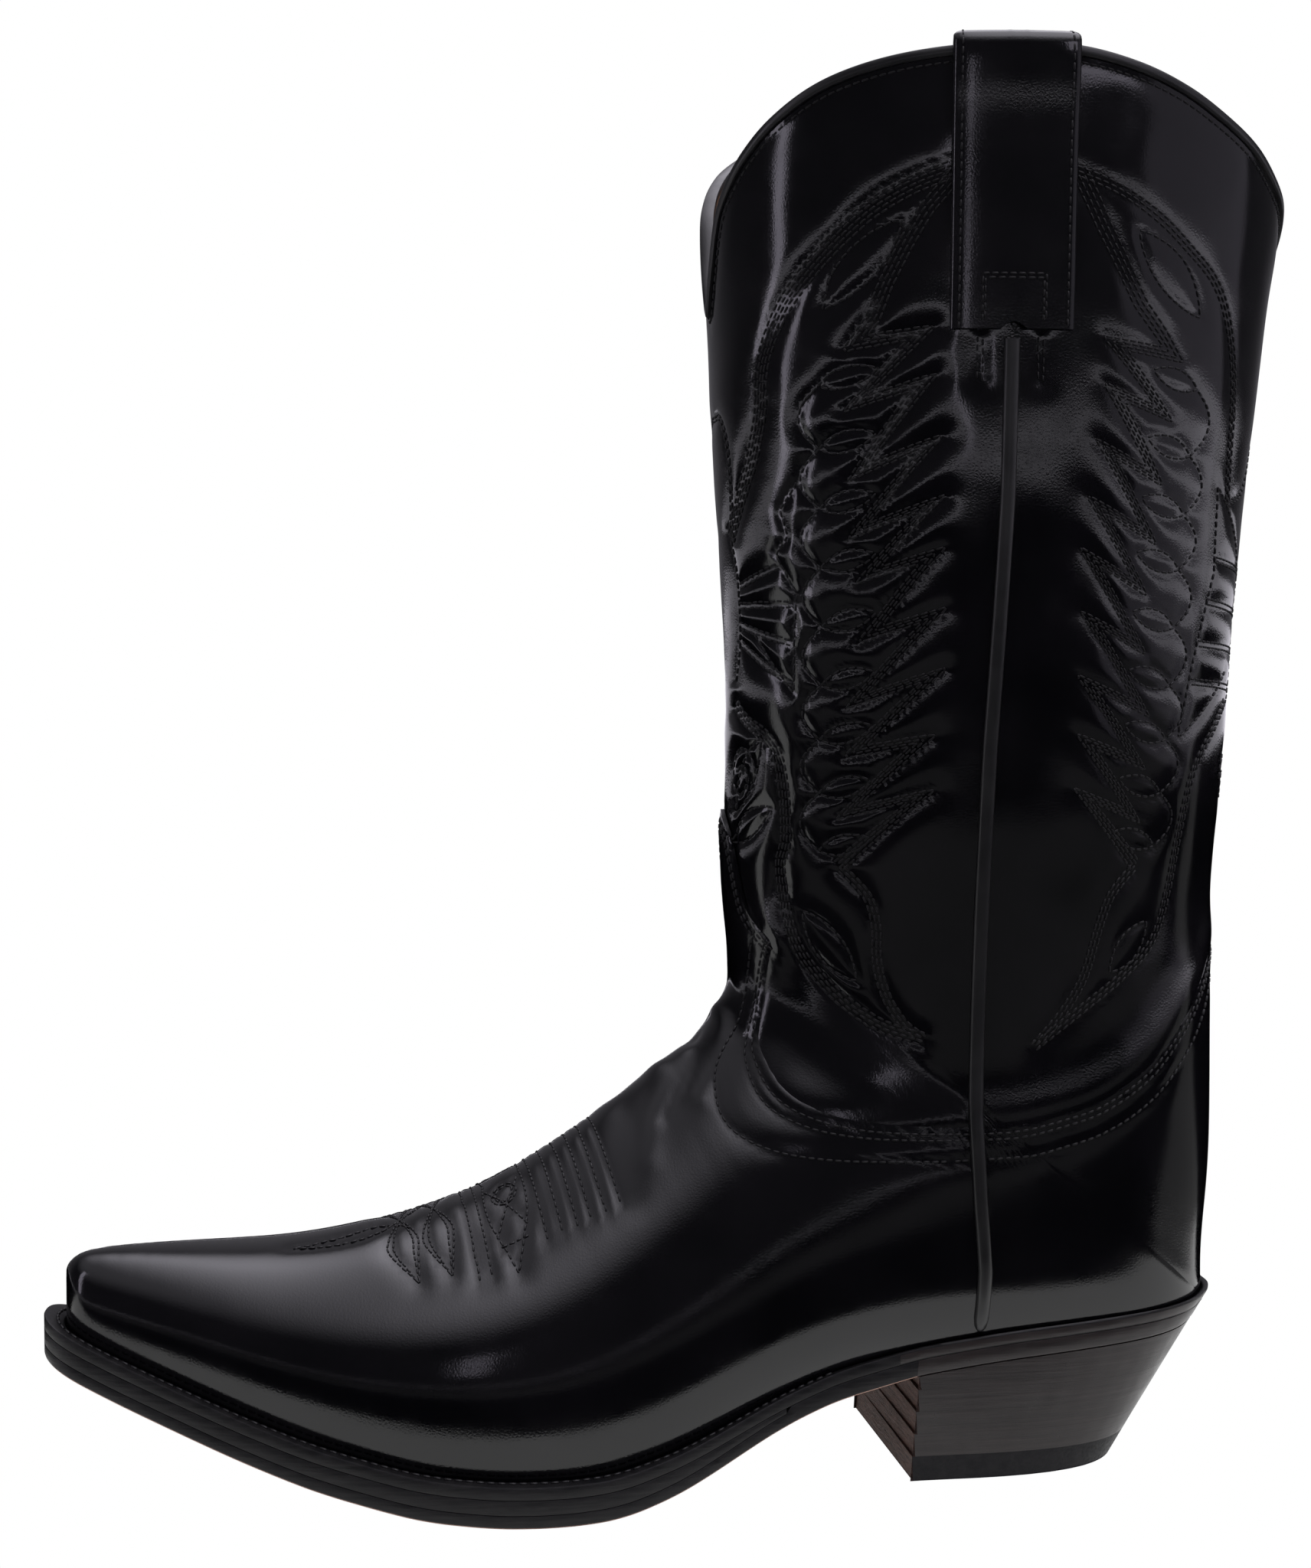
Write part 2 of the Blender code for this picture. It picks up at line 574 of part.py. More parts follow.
def rim_loop(net):
    """Points and normals around the rim: outer half to the back, inner half to the front."""
    rim = net.curves["rim"]
    ids = [i for i, (k, t) in enumerate(net.places)
           if abs(k - np.interp(t, [p[1] for p in rim], [p[0] for p in rim])) < 2e-3]
    ids.sort(key=lambda i: net.places[i][1])
    loop = [net.of_side[OUTER][i] for i in ids] + [net.of_side[INNER][i] for i in reversed(ids)]
    ordered = list(dict.fromkeys(loop))
    return net.points[ordered], net.normals[ordered]


def top_binding(net):
    """The folded strip that covers the edge of the shaft and its lining."""
    points, normals = rim_loop(net)
    along = np.roll(points, -1, axis=0) - np.roll(points, 1, axis=0)
    along /= np.linalg.norm(along, axis=1)[:, None]
    up = np.cross(normals, along)
    up *= np.sign(up[:, 2])[:, None]
    up /= np.linalg.norm(up, axis=1)[:, None]
    profile = [(1.5, -3.5), (1.5, 1.0), (-4.7, 1.0), (-4.7, -3.5), (-3.8, -3.5), (-3.8, 0.3), (0.5, 0.3),
               (0.5, -3.5)]
    rings = [[p + n * d + u * h for d, h in profile] for p, n, u in zip(points, normals, up)]
    made, faces = sweep(rings, closed=True)
    add_object("top_binding", made, faces, BLACK_LEATHER)


def side_piping(name, side):
    """The raised strip over the side seam, from the strap down to the sole."""
    xs, zs = np.array(SIDE_SEAM).T
    rings = []
    for z in list(np.arange(PIPING_TOP_Z, 120, -17.0)) + [108, 100, 92, 82, 70, 58, 48, 41.5]:
        x = float(np.interp(z, zs, xs))
        lift = 0.6 if z > 102 else 2.2
        corners = []
        for shift, depth in ((-1, 0), (-1, 0.9), (-0.4, 1.7), (0.4, 1.7), (1, 0.9), (1, 0)):
            k, t = locate(x + shift * PIPING_HALF_WIDTH, z)
            corners.append(surface(k, t, side) + normal_at(k, t, side) * (lift + depth))
        rings.append(corners)
    made, faces = sweep(rings, closed=False)
    add_object(name, made, faces, BLACK_LEATHER)


def pull_strap(name, side):
    """A doubled strap sewn outside, led over the rim and sewn inside."""
    columns = [STRAP_CENTRE + STRAP_HALF_WIDTH * f for f in (-1, -0.5, 0, 0.5, 1)]
    legs = [(STRAP_FOOT_Z, 0.8), (312, 0.8), (330, 0.8), (348, 1.0), (360, 1.9)]
    top = 366.9
    rings = []
    for x in columns:
        under, over = [], []

        def place(z, d, thick_d, thick_z):
            k, t = locate(x, min(z, 366.5))
            p, n = surface(k, t, side), normal_at(k, t, side)
            n = n * (1, 1, 0)
            n /= np.linalg.norm(n)
            rise = np.array([0, 0, z - min(z, 366.5)])
            under.append(p + n * d + rise)
            over.append(p + n * (d + thick_d) + rise + np.array([0, 0, thick_z]))

        for z, d in legs:
            place(z, d, STRAP_THICKNESS, 0)
        place(top + 0.8, 2.0, STRAP_THICKNESS, 0.4)
        place(top + 1.9, 1.3, 0.9, STRAP_THICKNESS - 0.1)
        place(top + 1.9, -4.4, -0.9, STRAP_THICKNESS - 0.1)
        place(top + 0.8, -5.2, -STRAP_THICKNESS, 0.4)
        for z, d in reversed(legs):
            place(z, -4.0 - 1.1 * max(0, d - 0.8), -STRAP_THICKNESS, 0)
        rings.append(under + over[::-1])
    made, faces = sweep(rings, closed=False)
    add_object(name, made, faces, BLACK_LEATHER)


# ---------------------------------------------------------------- sole and heel

def plan_line(height, side, count=42):
    """The upper's outline at a height above its lower edge: (x, y) from the toe to the back."""
    line = []
    end = HEEL_CORNER + 1.0
    for k in list(np.linspace(0, 2, 7)) + list(np.linspace(2.4, 17, count)) + list(np.linspace(17.2, end, 28)):
        ax, az, bx, bz, _, _, _, _, middle, _, below = (float(v) for v in section(k))
        if bz > seat_z(bx) + height + 0.01 and k > HEEL_CORNER:
            break
        feather, widest = (float(v) for v in half_widths(k, side))
        s = 1.0
        for _ in range(12):
            x = ax + s * (bx - ax)
            s = min(1.0, (az - float(seat_z(x)) - height) / (az - bz))
        r = max(0.0, (s - middle) / (1 - middle))
        cut = 1 - (feather / widest) ** below
        line.append((ax + s * (bx - ax), widest * max(0.0, 1 - cut * r ** below) ** (1 / below)))
    line[0] = (line[0][0], 0.0)
    if line[-1][1] < 0.5:
        line[-1] = (line[-1][0], 0.0)
    else:
        line.append((line[-1][0] + 0.05 * line[-1][1], 0.0))
    return np.array(line)


def offset_line(line, distance):
    """Moves the half outline outward in plan; distance may differ along it."""
    before, after = line[1] * (1, -1), line[-2] * (1, -1)
    padded = np.concatenate([[before], line, [after]])
    along = padded[2:] - padded[:-2]
    along /= np.linalg.norm(along, axis=1)[:, None]
    out = line + np.stack([-along[:, 1], along[:, 0]], 1) * np.reshape(distance, (-1, 1))
    out[:, 1] = np.maximum(out[:, 1], 0)
    return out


def sole_outline(side):
    """The outline of the welt, midsole and outsole: half of it, from toe to heel back."""
    crease = plan_line(WELT_HEIGHT, side)
    margin = np.interp(crease[:, 0], *np.array(SOLE_MARGIN).T)
    return offset_line(crease, OVERLAY[1] + margin)


def slab(name, outer, inner, bottom, top, look):
    """A plate between two half outlines of equal length, with its lower and upper height."""
    rings = []
    for (xo, yo), (xi, yi) in zip(outer, inner):
        xm = (xo + xi) / 2
        rings.append([(xo, -yo, bottom(xo)), (xm, 0, bottom(xm)), (xi, yi, bottom(xi)),
                      (xi, yi, top(xi)), (xm, 0, top(xm)), (xo, -yo, top(xo))])
    points, faces = sweep(rings, closed=False)
    return add_object(name, points, faces, look)


def cut_rows(outer, inner, x_from, x_to, spacing=7.0):
    """Evenly spaced rows of both half outlines from x_from to x_to."""
    rows = np.linspace(x_from, x_to, int((x_to - x_from) / spacing) + 2)
    return [[(x, float(np.interp(x, line[:, 0], line[:, 1]))) for x in rows] for line in (outer, inner)]


def sole_layers():
    """Outsole, midsole and what lies between them and the foot."""
    outer, inner = sole_outline(OUTER), sole_outline(INNER)

    def outsole_top(x):
        full = seat_z(x) - GAP
        return min(full, sole_z(x) + OUTSOLE_THICKNESS) if x < MIDSOLE_END + 1 else full

    outsole = slab("outsole", outer, inner, sole_z, outsole_top, SOLE_LEATHER)
    rows = [i for i in range(len(outer)) if max(outer[i][0], inner[i][0]) < MIDSOLE_END]
    slab("midsole", outer[:len(rows)], inner[:len(rows)], lambda x: sole_z(x) + OUTSOLE_THICKNESS + GAP,
         lambda x: seat_z(x) - GAP, SOLE_LEATHER)
    feather = [offset_line(plan_line(0.0, side), -4.2) for side in (OUTER, INNER)]

    def inside_plate(name, x_from, x_to, low, high, look):
        a, b = cut_rows(feather[0], feather[1], x_from, x_to)
        return slab(name, a, b, lambda x: seat_z(x) + low, lambda x: seat_z(x) + high, look)

    insole = inside_plate("insole", -152, 139, 2.9, 5.6, TAN_LEATHER)
    inside_plate("sock_lining", -151, 138, 5.9, 6.9, TAN_LEATHER)
    inside_plate("cork_filler", -150, -8, 0.1, 2.6, CORK)
    return outsole, insole


def shank():
    """The steel spring that carries the arch."""
    rings = []
    for x in np.linspace(-4, 104, 15):
        z = float(seat_z(x)) + 0.8
        half = 8.0 if 6 < x < 96 else 5.5
        rings.append([(x, -half, z), (x, half, z), (x, half, z + 1.3), (x, -half, z + 1.3)])
    points, faces = sweep(rings, closed=False)
    add_object("shank", points, faces, STEEL)


def edge_strip(name, x_from, x_to, closed_end, height, clearance, look):
    """The welt in front, or the rand round the heel: a strip outside the upper's lower edge."""
    rings = []
    for side in (OUTER, INNER):
        crease = plan_line(WELT_HEIGHT, side)
        rim = sole_outline(side)
        wall = offset_line(crease, OVERLAY[1] + clearance)
        rows = [i for i in range(len(crease)) if x_from <= rim[i][0] <= x_to]
        half = []
        for i in rows:
            (xi, yi), (xo, yo) = wall[i], rim[i]
            half.append([(xi, side * yi, seat_z(xi)), (xi, side * yi, seat_z(xi) + height),
                         (xo, side * yo, seat_z(xo) + height), (xo, side * yo, seat_z(xo))])
        if side == OUTER:
            rings = half if closed_end == "back" else half[::-1]
        else:
            rings = rings + (half[::-1] if closed_end == "back" else half)[1:]
    points, faces = sweep(rings, closed=False)
    add_object(name, points, faces, look)


def heel_plate(name, bottom, top, look):
    """One layer of the heel; its outline narrows towards the floor."""
    lines = []
    for side in (OUTER, INNER):
        line = offset_line(sole_outline(side), -0.5)
        xs = np.concatenate([np.linspace(BREAST_X, 138, 12), [143.0, 147.0, 149.3, line[-1][0] - 0.1]])
        widths = np.interp(xs, line[:, 0], line[:, 1])
        widths[-1] = 0.0
        lines.append(list(zip(xs, widths)))

    def taper(x, y, z):
        f = np.clip(z / HEEL_TOP_Z, 0, 1)
        back = lines[0][-1][0]
        foot_x = HEEL_FLOOR_BREAST + (x - BREAST_X) * (HEEL_FLOOR_BACK - HEEL_FLOOR_BREAST) / (back - BREAST_X)
        return (foot_x + (x - foot_x) * f, y * (HEEL_FLOOR_NARROWING + (1 - HEEL_FLOOR_NARROWING) * f), z)

    rings = []
    for (x, yo), (_, yi) in zip(*lines):
        low, high = float(bottom(x)), float(top(x))
        rings.append([taper(x, -yo, low), taper(x, 0, low), taper(x, yi, low),
                      taper(x, yi, high), taper(x, 0, high), taper(x, -yo, high)])
    points, faces = sweep(rings, closed=False)
    return add_object(name, points, faces, look)


def heel():
    """Rubber top piece, leather lifts and the wedge that meets the sole."""
    top_piece = heel_plate("heel_top_piece", lambda x: 0.0, lambda x: TOP_PIECE, RUBBER)
    lifts = []
    for number, (low, high) in enumerate(LIFTS, 1):
        lifts.append(heel_plate(f"heel_lift_{number}", lambda x: low, lambda x: high, STACK_LEATHER))
    seat = heel_plate("heel_seat_lift", lambda x: SEAT_LIFT_BOTTOM, lambda x: sole_z(x) - GAP, STACK_LEATHER)
    return top_piece, lifts, seat


def fasteners(top_piece, lifts, seat_lift, outsole, insole):
    """Nails of the top piece and of the heel seat, and the wooden pegs of the arch."""
    for number, (x, y) in enumerate([(64, -20), (64, 20), (84, -23), (84, 23), (104, -17), (104, 17),
                                     (114, 0)], 1):
        pin(f"top_piece_nail_{number}", (x, y, 0.4), (x, y, 11.0), 0.9, BRASS)
        drill([top_piece, lifts[0]], f"nail_hole_{number}", (x, y, -1), (x, y, 11.4), 1.25)
    for number, (x, y) in enumerate([(92, -15), (92, 15), (122, -10), (122, 10)], 1):
        top = float(seat_z(x)) + 5.2
        pin(f"seat_nail_{number}", (x, y, 20.5), (x, y, top), 1.1, STEEL)
        drill([outsole, insole, seat_lift, lifts[2]], f"seat_nail_hole_{number}", (x, y, 20.0),
              (x, y, top + 2), 1.5)
    number = 0
    for x in (14, 25, 36, 47):
        for y in (-21, 17):
            number += 1
            low, high = float(sole_z(x)) + 0.5, float(seat_z(x)) + 4.4
            pin(f"arch_peg_{number}", (x, y, low), (x, y, high), 0.9, WOOD, sides=6)
            targets = [outsole, insole]
            if x < MIDSOLE_END:
                targets.append(bpy.data.objects["midsole"])
            drill(targets, f"peg_hole_{number}", (x, y, low - 3), (x, y, high + 0.3), 1.3)


def centre_on_origin(objects):
    """Moves the whole boot so that the origin is on the floor under the middle of its box."""
    corners = np.array([v.co for o in objects for v in o.data.vertices])
    middle = (corners.min(axis=0) + corners.max(axis=0)) / 2
    for made in objects:
        for vert in made.data.vertices:
            vert.co.x -= middle[0]
            vert.co.y -= middle[1]


def main():
    for old in list(bpy.data.objects):
        bpy.data.objects.remove(old)
    net = Net()
    leather_pieces(net)
    top_binding(net)
    side_piping("side_piping_outer", OUTER)
    side_piping("side_piping_inner", INNER)
    pull_strap("pull_strap_outer", OUTER)
    pull_strap("pull_strap_inner", INNER)
    outsole, insole = sole_layers()
    shank()
    edge_strip("welt", -200, WELT_END, "front", WELT_HEIGHT, 0.6, SOLE_LEATHER)
    edge_strip("heel_rand", WELT_END + 0.5, 200, "back", WELT_HEIGHT - 0.3, 1.0, SOLE_LEATHER)
    top_piece, lifts, seat_lift = heel()
    fasteners(top_piece, lifts, seat_lift, outsole, insole)
    centre_on_origin([o for o in bpy.data.objects if o.type == "MESH"])


main()
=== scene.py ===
"""Looks of the black Western boot: fine leather, real stitching, sole and heel.

The leather, the sole and the heel lie on the same smooth surface as the CAD part, so its
sections are repeated here. All sizes are millimetres in the part's own frame until a mesh
is made. A place on the surface is (k, t, side): k counts sections from the toe to the top,
t goes from 0 at the front to 1 at the feather or the back, and side is OUTER or INNER.
"""
import json
import math

import bmesh
import bpy
import numpy as np
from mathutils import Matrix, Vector, kdtree, noise
from mathutils.bvhtree import BVHTree
from mathutils.geometry import delaunay_2d_cdt


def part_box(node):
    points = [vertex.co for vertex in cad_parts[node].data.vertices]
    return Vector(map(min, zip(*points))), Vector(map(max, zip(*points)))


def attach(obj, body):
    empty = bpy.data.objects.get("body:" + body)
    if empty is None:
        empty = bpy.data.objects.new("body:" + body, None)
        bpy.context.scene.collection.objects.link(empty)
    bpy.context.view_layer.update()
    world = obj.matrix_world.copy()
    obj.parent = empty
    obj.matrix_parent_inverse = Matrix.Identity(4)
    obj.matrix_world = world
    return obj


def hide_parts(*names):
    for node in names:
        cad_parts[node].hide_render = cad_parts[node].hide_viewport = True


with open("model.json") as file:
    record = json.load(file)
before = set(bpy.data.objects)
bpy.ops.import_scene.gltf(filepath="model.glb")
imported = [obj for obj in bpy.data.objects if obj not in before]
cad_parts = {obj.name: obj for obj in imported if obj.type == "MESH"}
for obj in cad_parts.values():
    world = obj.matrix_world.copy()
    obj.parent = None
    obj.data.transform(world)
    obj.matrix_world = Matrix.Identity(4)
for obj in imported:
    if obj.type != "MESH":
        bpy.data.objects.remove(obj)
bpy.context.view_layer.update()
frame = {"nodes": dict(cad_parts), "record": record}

MM = 0.001
OUTER, INNER = -1, 1
SIDE_NAMES = ((OUTER, "outer"), (INNER, "inner"))

# Foot sections: front x, z, feather x, feather half width (outer, inner side),
# widest half width (outer, inner), where it is widest, roundness above and below.
FOOT_SECTIONS = [
    (-159.7, 57.4, -159.7, 0.0, 0.0, 0.0, 0.0, 0.60, 2.4, 2.4),
    (-159.3, 58.6, -159.3, 4.8, 4.8, 5.2, 5.2, 0.60, 2.4, 2.4),
    (-157.4, 59.9, -157.2, 8.2, 8.4, 8.7, 8.9, 0.60, 2.4, 2.4),
    (-153.0, 60.8, -152.5, 11.2, 11.6, 11.8, 12.2, 0.61, 2.4, 2.4),
    (-143.0, 61.1, -142.0, 16.4, 17.4, 17.2, 18.2, 0.62, 2.4, 2.4),
    (-127.0, 60.9, -125.0, 24.0, 25.6, 25.0, 26.6, 0.63, 2.4, 2.4),
    (-107.0, 60.7, -104.0, 32.4, 34.6, 33.6, 35.8, 0.65, 2.3, 2.4),
    (-87.0, 63.2, -82.0, 39.0, 41.4, 40.4, 42.8, 0.67, 2.2, 2.4),
    (-67.0, 68.3, -60.0, 42.6, 43.2, 44.2, 45.0, 0.69, 2.1, 2.4),
    (-48.0, 76.0, -38.0, 43.2, 39.4, 45.2, 42.6, 0.70, 2.0, 2.4),
    (-30.0, 87.2, -15.0, 40.0, 32.6, 43.2, 38.6, 0.69, 1.95, 2.4),
    (-13.6, 98.2, 10.0, 32.8, 25.4, 39.6, 36.0, 0.66, 1.95, 2.3),
    (-2.4, 106.6, 36.0, 27.6, 23.8, 37.4, 35.4, 0.63, 1.95, 2.3),
    (7.6, 114.2, 64.0, 27.4, 26.6, 36.8, 36.0, 0.60, 1.95, 2.3),
    (14.2, 122.5, 95.0, 29.6, 29.4, 36.6, 36.6, 0.58, 1.95, 2.3),
    (16.4, 132.0, 122.0, 27.4, 27.4, 36.8, 36.8, 0.56, 1.95, 2.2),
    (16.0, 141.0, 138.0, 19.4, 19.4, 37.0, 37.0, 0.55, 1.95, 2.1),
    (15.3, 147.0, 144.6, 10.0, 10.0, 37.2, 37.2, 0.55, 1.95, 2.1),
    (14.9, 151.0, 146.6, 0.0, 0.0, 37.4, 37.4, 0.54, 1.95, 2.0),
]
# Leg sections: front x, z, back x, z, half width, where it is widest, roundness in front.
LEG_SECTIONS = [
    (14.3, 158.0, 146.2, 55.0, 38.0, 0.54, 1.95),
    (13.9, 167.0, 148.6, 76.0, 39.0, 0.53, 1.95),
    (13.4, 179.0, 148.4, 102.0, 40.6, 0.52, 1.95),
    (13.6, 192.0, 147.9, 130.0, 42.8, 0.51, 2.0),
    (13.9, 207.0, 149.4, 158.0, 45.6, 0.50, 2.0),
    (13.2, 226.0, 152.3, 191.0, 49.2, 0.50, 2.0),
    (11.6, 250.0, 154.0, 226.0, 52.6, 0.50, 2.0),
    (9.9, 280.0, 157.4, 265.0, 55.6, 0.50, 2.0),
    (8.6, 310.0, 161.6, 306.0, 57.6, 0.50, 2.0),
    (7.4, 342.0, 167.0, 341.0, 59.0, 0.50, 2.0),
    (6.2, 376.0, 171.6, 376.0, 60.0, 0.50, 2.0),
]
HEEL_CORNER = len(FOOT_SECTIONS) - 1
LAST = len(FOOT_SECTIONS) + len(LEG_SECTIONS) - 1

# Underside of the outsole: x, z.
SOLE_PROFILE = [
    (-168, 37.2), (-160, 33.2), (-150, 29.0), (-135, 23.2), (-118, 16.6), (-99, 9.9), (-72, 2.8),
    (-52, 0.4), (-36, 0.0), (-22, 0.5), (-5, 5.2), (8, 11.2), (20, 17.2), (37, 23.8), (60, 28.6),
    (87, 32.0), (111, 33.8), (140, 35.2), (153, 36.0),
]
FOREFOOT_STACK = 7.3           # midsole and outsole together, and their thickness over the heel
HEEL_STACK = 4.6
OUTSOLE_THICKNESS = 3.4
MIDSOLE_END = 24.0
WELT_HEIGHT = 3.3
WELT_END = 55.0
BREAST_X = 60.5
# How far the sole stands out past the upper: x, distance.
SOLE_MARGIN = [(-165, 6.2), (-150, 5.0), (-20, 5.0), (10, 3.4), (30, 2.4), (60, 2.0), (120, 1.7),
               (147, 2.6)]

# Distances from the smooth surface, inner and outer face of each layer.
OVERLAY = (0.3, 1.8)
BODY = (-1.5, 0.0)
LINING = (-2.9, -1.8)

# Outlines of the leather pieces: t, z.
RIM = [(0, 309.5), (0.03, 321), (0.06, 333), (0.10, 341.5), (0.14, 348), (0.18, 353.5),
       (0.235, 359.5), (0.29, 363.3), (0.35, 365.8), (0.42, 367.2), (0.50, 367.2), (0.57, 364.2),
       (0.63, 359.7), (0.69, 354), (0.75, 348.5), (0.81, 342.5), (0.88, 337), (0.94, 330.5), (1, 321)]
TONGUE_EDGE = [(0, 176.5), (0.04, 171), (0.068, 162), (0.09, 152), (0.125, 146), (0.16, 142)]
VAMP_EDGE = [(0.16, 142), (0.143, 135), (0.138, 126), (0.16, 117), (0.208, 110), (0.268, 103),
             (0.326, 98.3), (0.371, 96.1), (0.409, 95.4), (0.452, 95.3)]
COUNTER_EDGE = [(0.452, 95.3), (0.50, 96.3), (0.546, 98.2), (0.607, 101.4), (0.682, 108.6),
                (0.744, 117), (0.792, 123.8), (0.837, 130.5), (0.88, 136), (0.94, 140), (1, 141.5)]
SHAFT_FOOT = [(0, 108), (0.1, 102), (0.2, 93), (0.32, 85)]
SHAFT_FOOT_BACK = [(0.6, 88), (0.75, 103), (0.88, 118), (1, 122)]
SEAM_FOOT_Z = 83.0
SEAM_TOP_Z = 366.9
# Side seam seen from the side: x, z.
SIDE_SEAM = [(75.6, 37), (75.7, 57), (74.0, 76), (73.0, 95.3), (73.0, 155), (73.2, 195),
             (75.0, 257), (75.0, 301), (76.4, 366)]
SEAM_FEATHER_X = 75.6

HEEL_FLOOR_BREAST = 57.5       # the heel's front and back where it meets the floor
HEEL_FLOOR_BACK = 122.0
HEEL_FLOOR_NARROWING = 0.93
HEEL_TOP_Z = 43.5              # the taper of the heel begins here, at the rand's top
HEEL_LIFTS = (6.66, 12.74, 18.84, 24.78)   # top of the rubber and of each leather lift
HEEL_JOINT = 0.02              # gap between two layers of the heel
RAND_SIDE, NO_FACE = 5, -1     # which face of the strip's cross-section takes the heel's finish

STRAP_CENTRE, STRAP_HALF_WIDTH = 74.9, 15.3
STRAP_FOOT_Z, STRAP_TOP_Z, RIM_Z = 298.5, 366.9, 366.5
STRAP_NOTCH = (1.7, 0.2)       # height of the foot's notch over the piping, share of the half width
STRAP_THICKNESS = 2.0
PIPING_HALF_WIDTH = 1.9
PIPING_TOP_Z = 296.3

SMOOTHING_ROUNDS, SMOOTHING_STEPS = 14, (0.5, -0.53)
LEATHER_STEP = 1.7             # spacing of the leather's points
SHAFT_STEP = 1.35              # and where it is stitched in patterns
STITCH_PITCH = 2.3
STITCH_SHARE = 0.88            # how much of the pitch a stitch fills
THREAD_RADIUS = 0.32
ROW_GAP = 1.05                 # between the rows of a band of stitching
LEAF_WIDTH = 2.6
NARROW_DIP, BROAD_DIP = (0.30, 0.9), (0.42, 3.4)   # depth and width of the sinking along a row
DIP_REACH = 9.0
FOOT_SWELL, FOOT_SWELL_WIDTH = 1.6, 10.0   # the leg's flare over the edge of vamp and counter
WAVES = (0.55, 0.16)           # heights of the broad and the fine unevenness of the leg


def unit(vectors):
    """The rows of an array, each made one long."""
    return vectors / np.linalg.norm(vectors, axis=1)[:, None]


def running_length(points):
    """How far along a polyline each of its points is."""
    return np.concatenate([[0], np.cumsum(np.linalg.norm(np.diff(points, axis=0), axis=1))])


def sample(at, run, values):
    """The rows of values at the places at, where run gives each row's own place."""
    return np.stack([np.interp(at, run, column) for column in values.T], 1)


def bell(x, width):
    return np.exp(-(x / width) ** 2)


# ---------------------------------------------------------------- the smooth surface

STEPS = 16                     # samples from one section to the next


def hermite(values):
    """Samples a curve through the values that never overshoots them."""
    v = np.asarray(values, float)
    d = np.diff(v)
    slope = np.zeros(len(v))
    slope[0], slope[-1] = d[0], d[-1]
    for i in range(1, len(v) - 1):
        if d[i - 1] * d[i] > 0:
            slope[i] = 2 * d[i - 1] * d[i] / (d[i - 1] + d[i])
    s = np.arange(STEPS) / STEPS
    spans = []
    for i in range(len(v) - 1):
        span = v[i] * (1 + 2 * s) * (1 - s) ** 2 + slope[i] * s * (1 - s) ** 2
        span = span + v[i + 1] * s * s * (3 - 2 * s) + slope[i + 1] * s * s * (s - 1)
        spans.append(span)
    spans.append([v[-1]])
    return np.concatenate(spans)


def soften(values, sigma=0.45):
    """Rounds the curve with a bell filter, sigma in sections, and keeps its two ends."""
    r = int(STEPS * sigma * 3)
    head, tail = 2 * values[0] - values[r:0:-1], 2 * values[-1] - values[-2:-r - 2:-1]
    kernel = np.exp(-0.5 * (np.arange(-r, r + 1) / (STEPS * sigma)) ** 2)
    return np.convolve(np.concatenate([head, values, tail]), kernel / kernel.sum(), "valid")


def smooth_profile(points, sigma=5.0):
    """A function of x through the points (x, z), rounded over a few millimetres."""
    xs, zs = np.array(points, float).T
    grid = np.arange(xs[0] - 30, xs[-1] + 30.5, 0.5)
    line = np.interp(grid, xs, zs)
    line = np.where(grid < xs[0], zs[0] + (grid - xs[0]) * (zs[1] - zs[0]) / (xs[1] - xs[0]), line)
    beyond = zs[-1] + (grid - xs[-1]) * (zs[-1] - zs[-2]) / (xs[-1] - xs[-2])
    line = np.where(grid > xs[-1], beyond, line)
    kernel = np.exp(-0.5 * (np.arange(-40, 41) * 0.5 / sigma) ** 2)
    line[40:-40] = np.convolve(line, kernel / kernel.sum(), "valid")
    return lambda x: np.interp(x, grid, line)


sole_underside = smooth_profile(SOLE_PROFILE)
SOLE_DROP = float(min(sole_underside(x) for x in range(-60, -10)))


def sole_z(x):
    """Height of the outsole's underside; its lowest point is on the floor."""
    return sole_underside(x) - SOLE_DROP


def seat_z(x):
    """Height of the upper's lower edge."""
    f = np.clip((np.asarray(x, float) + 20) / 55, 0, 1)
    f = f * f * (3 - 2 * f)
    return sole_z(x) + FOREFOOT_STACK * (1 - f) + HEEL_STACK * f


FEATHER_COLUMNS = (2, 3, 4, 5)   # these turn a corner where the foot ends and the leg's back begins


def section_table():
    """One smooth curve over k for each number that describes a section."""
    rows = []
    for ax, az, bx, eo, ei, wo, wi, widest, above, below in FOOT_SECTIONS:
        rows.append((ax, az, bx, float(seat_z(bx)), eo, ei, wo, wi, widest, above, below))
    for ax, az, bx, bz, w, widest, above in LEG_SECTIONS:
        rows.append((ax, az, bx, bz, 0, 0, w, w, widest, above, 2.0))
    table = []
    corner = HEEL_CORNER * STEPS
    for column, values in enumerate(np.array(rows, float).T):
        curve = hermite(values)
        if column in FEATHER_COLUMNS:
            foot, leg = soften(curve[:corner + 1]), soften(curve[corner:])
            table.append(np.concatenate([foot, leg[1:]]))
        else:
            table.append(soften(curve))
    return np.array(table)


TABLE = section_table()


def section(k):
    at = np.clip(np.asarray(k, float), 0, LAST) * STEPS
    index = np.arange(TABLE.shape[1])
    return [np.interp(at, index, curve) for curve in TABLE]


def half_widths(k, side):
    _, _, _, _, eo, ei, wo, wi, _, _, _ = section(k)
    outer = np.asarray(side) < 0
    widest = np.maximum(np.where(outer, wo, wi), 1e-4)
    feather = np.minimum(np.maximum(np.where(outer, eo, ei), 0), widest * 0.985)
    return feather, widest


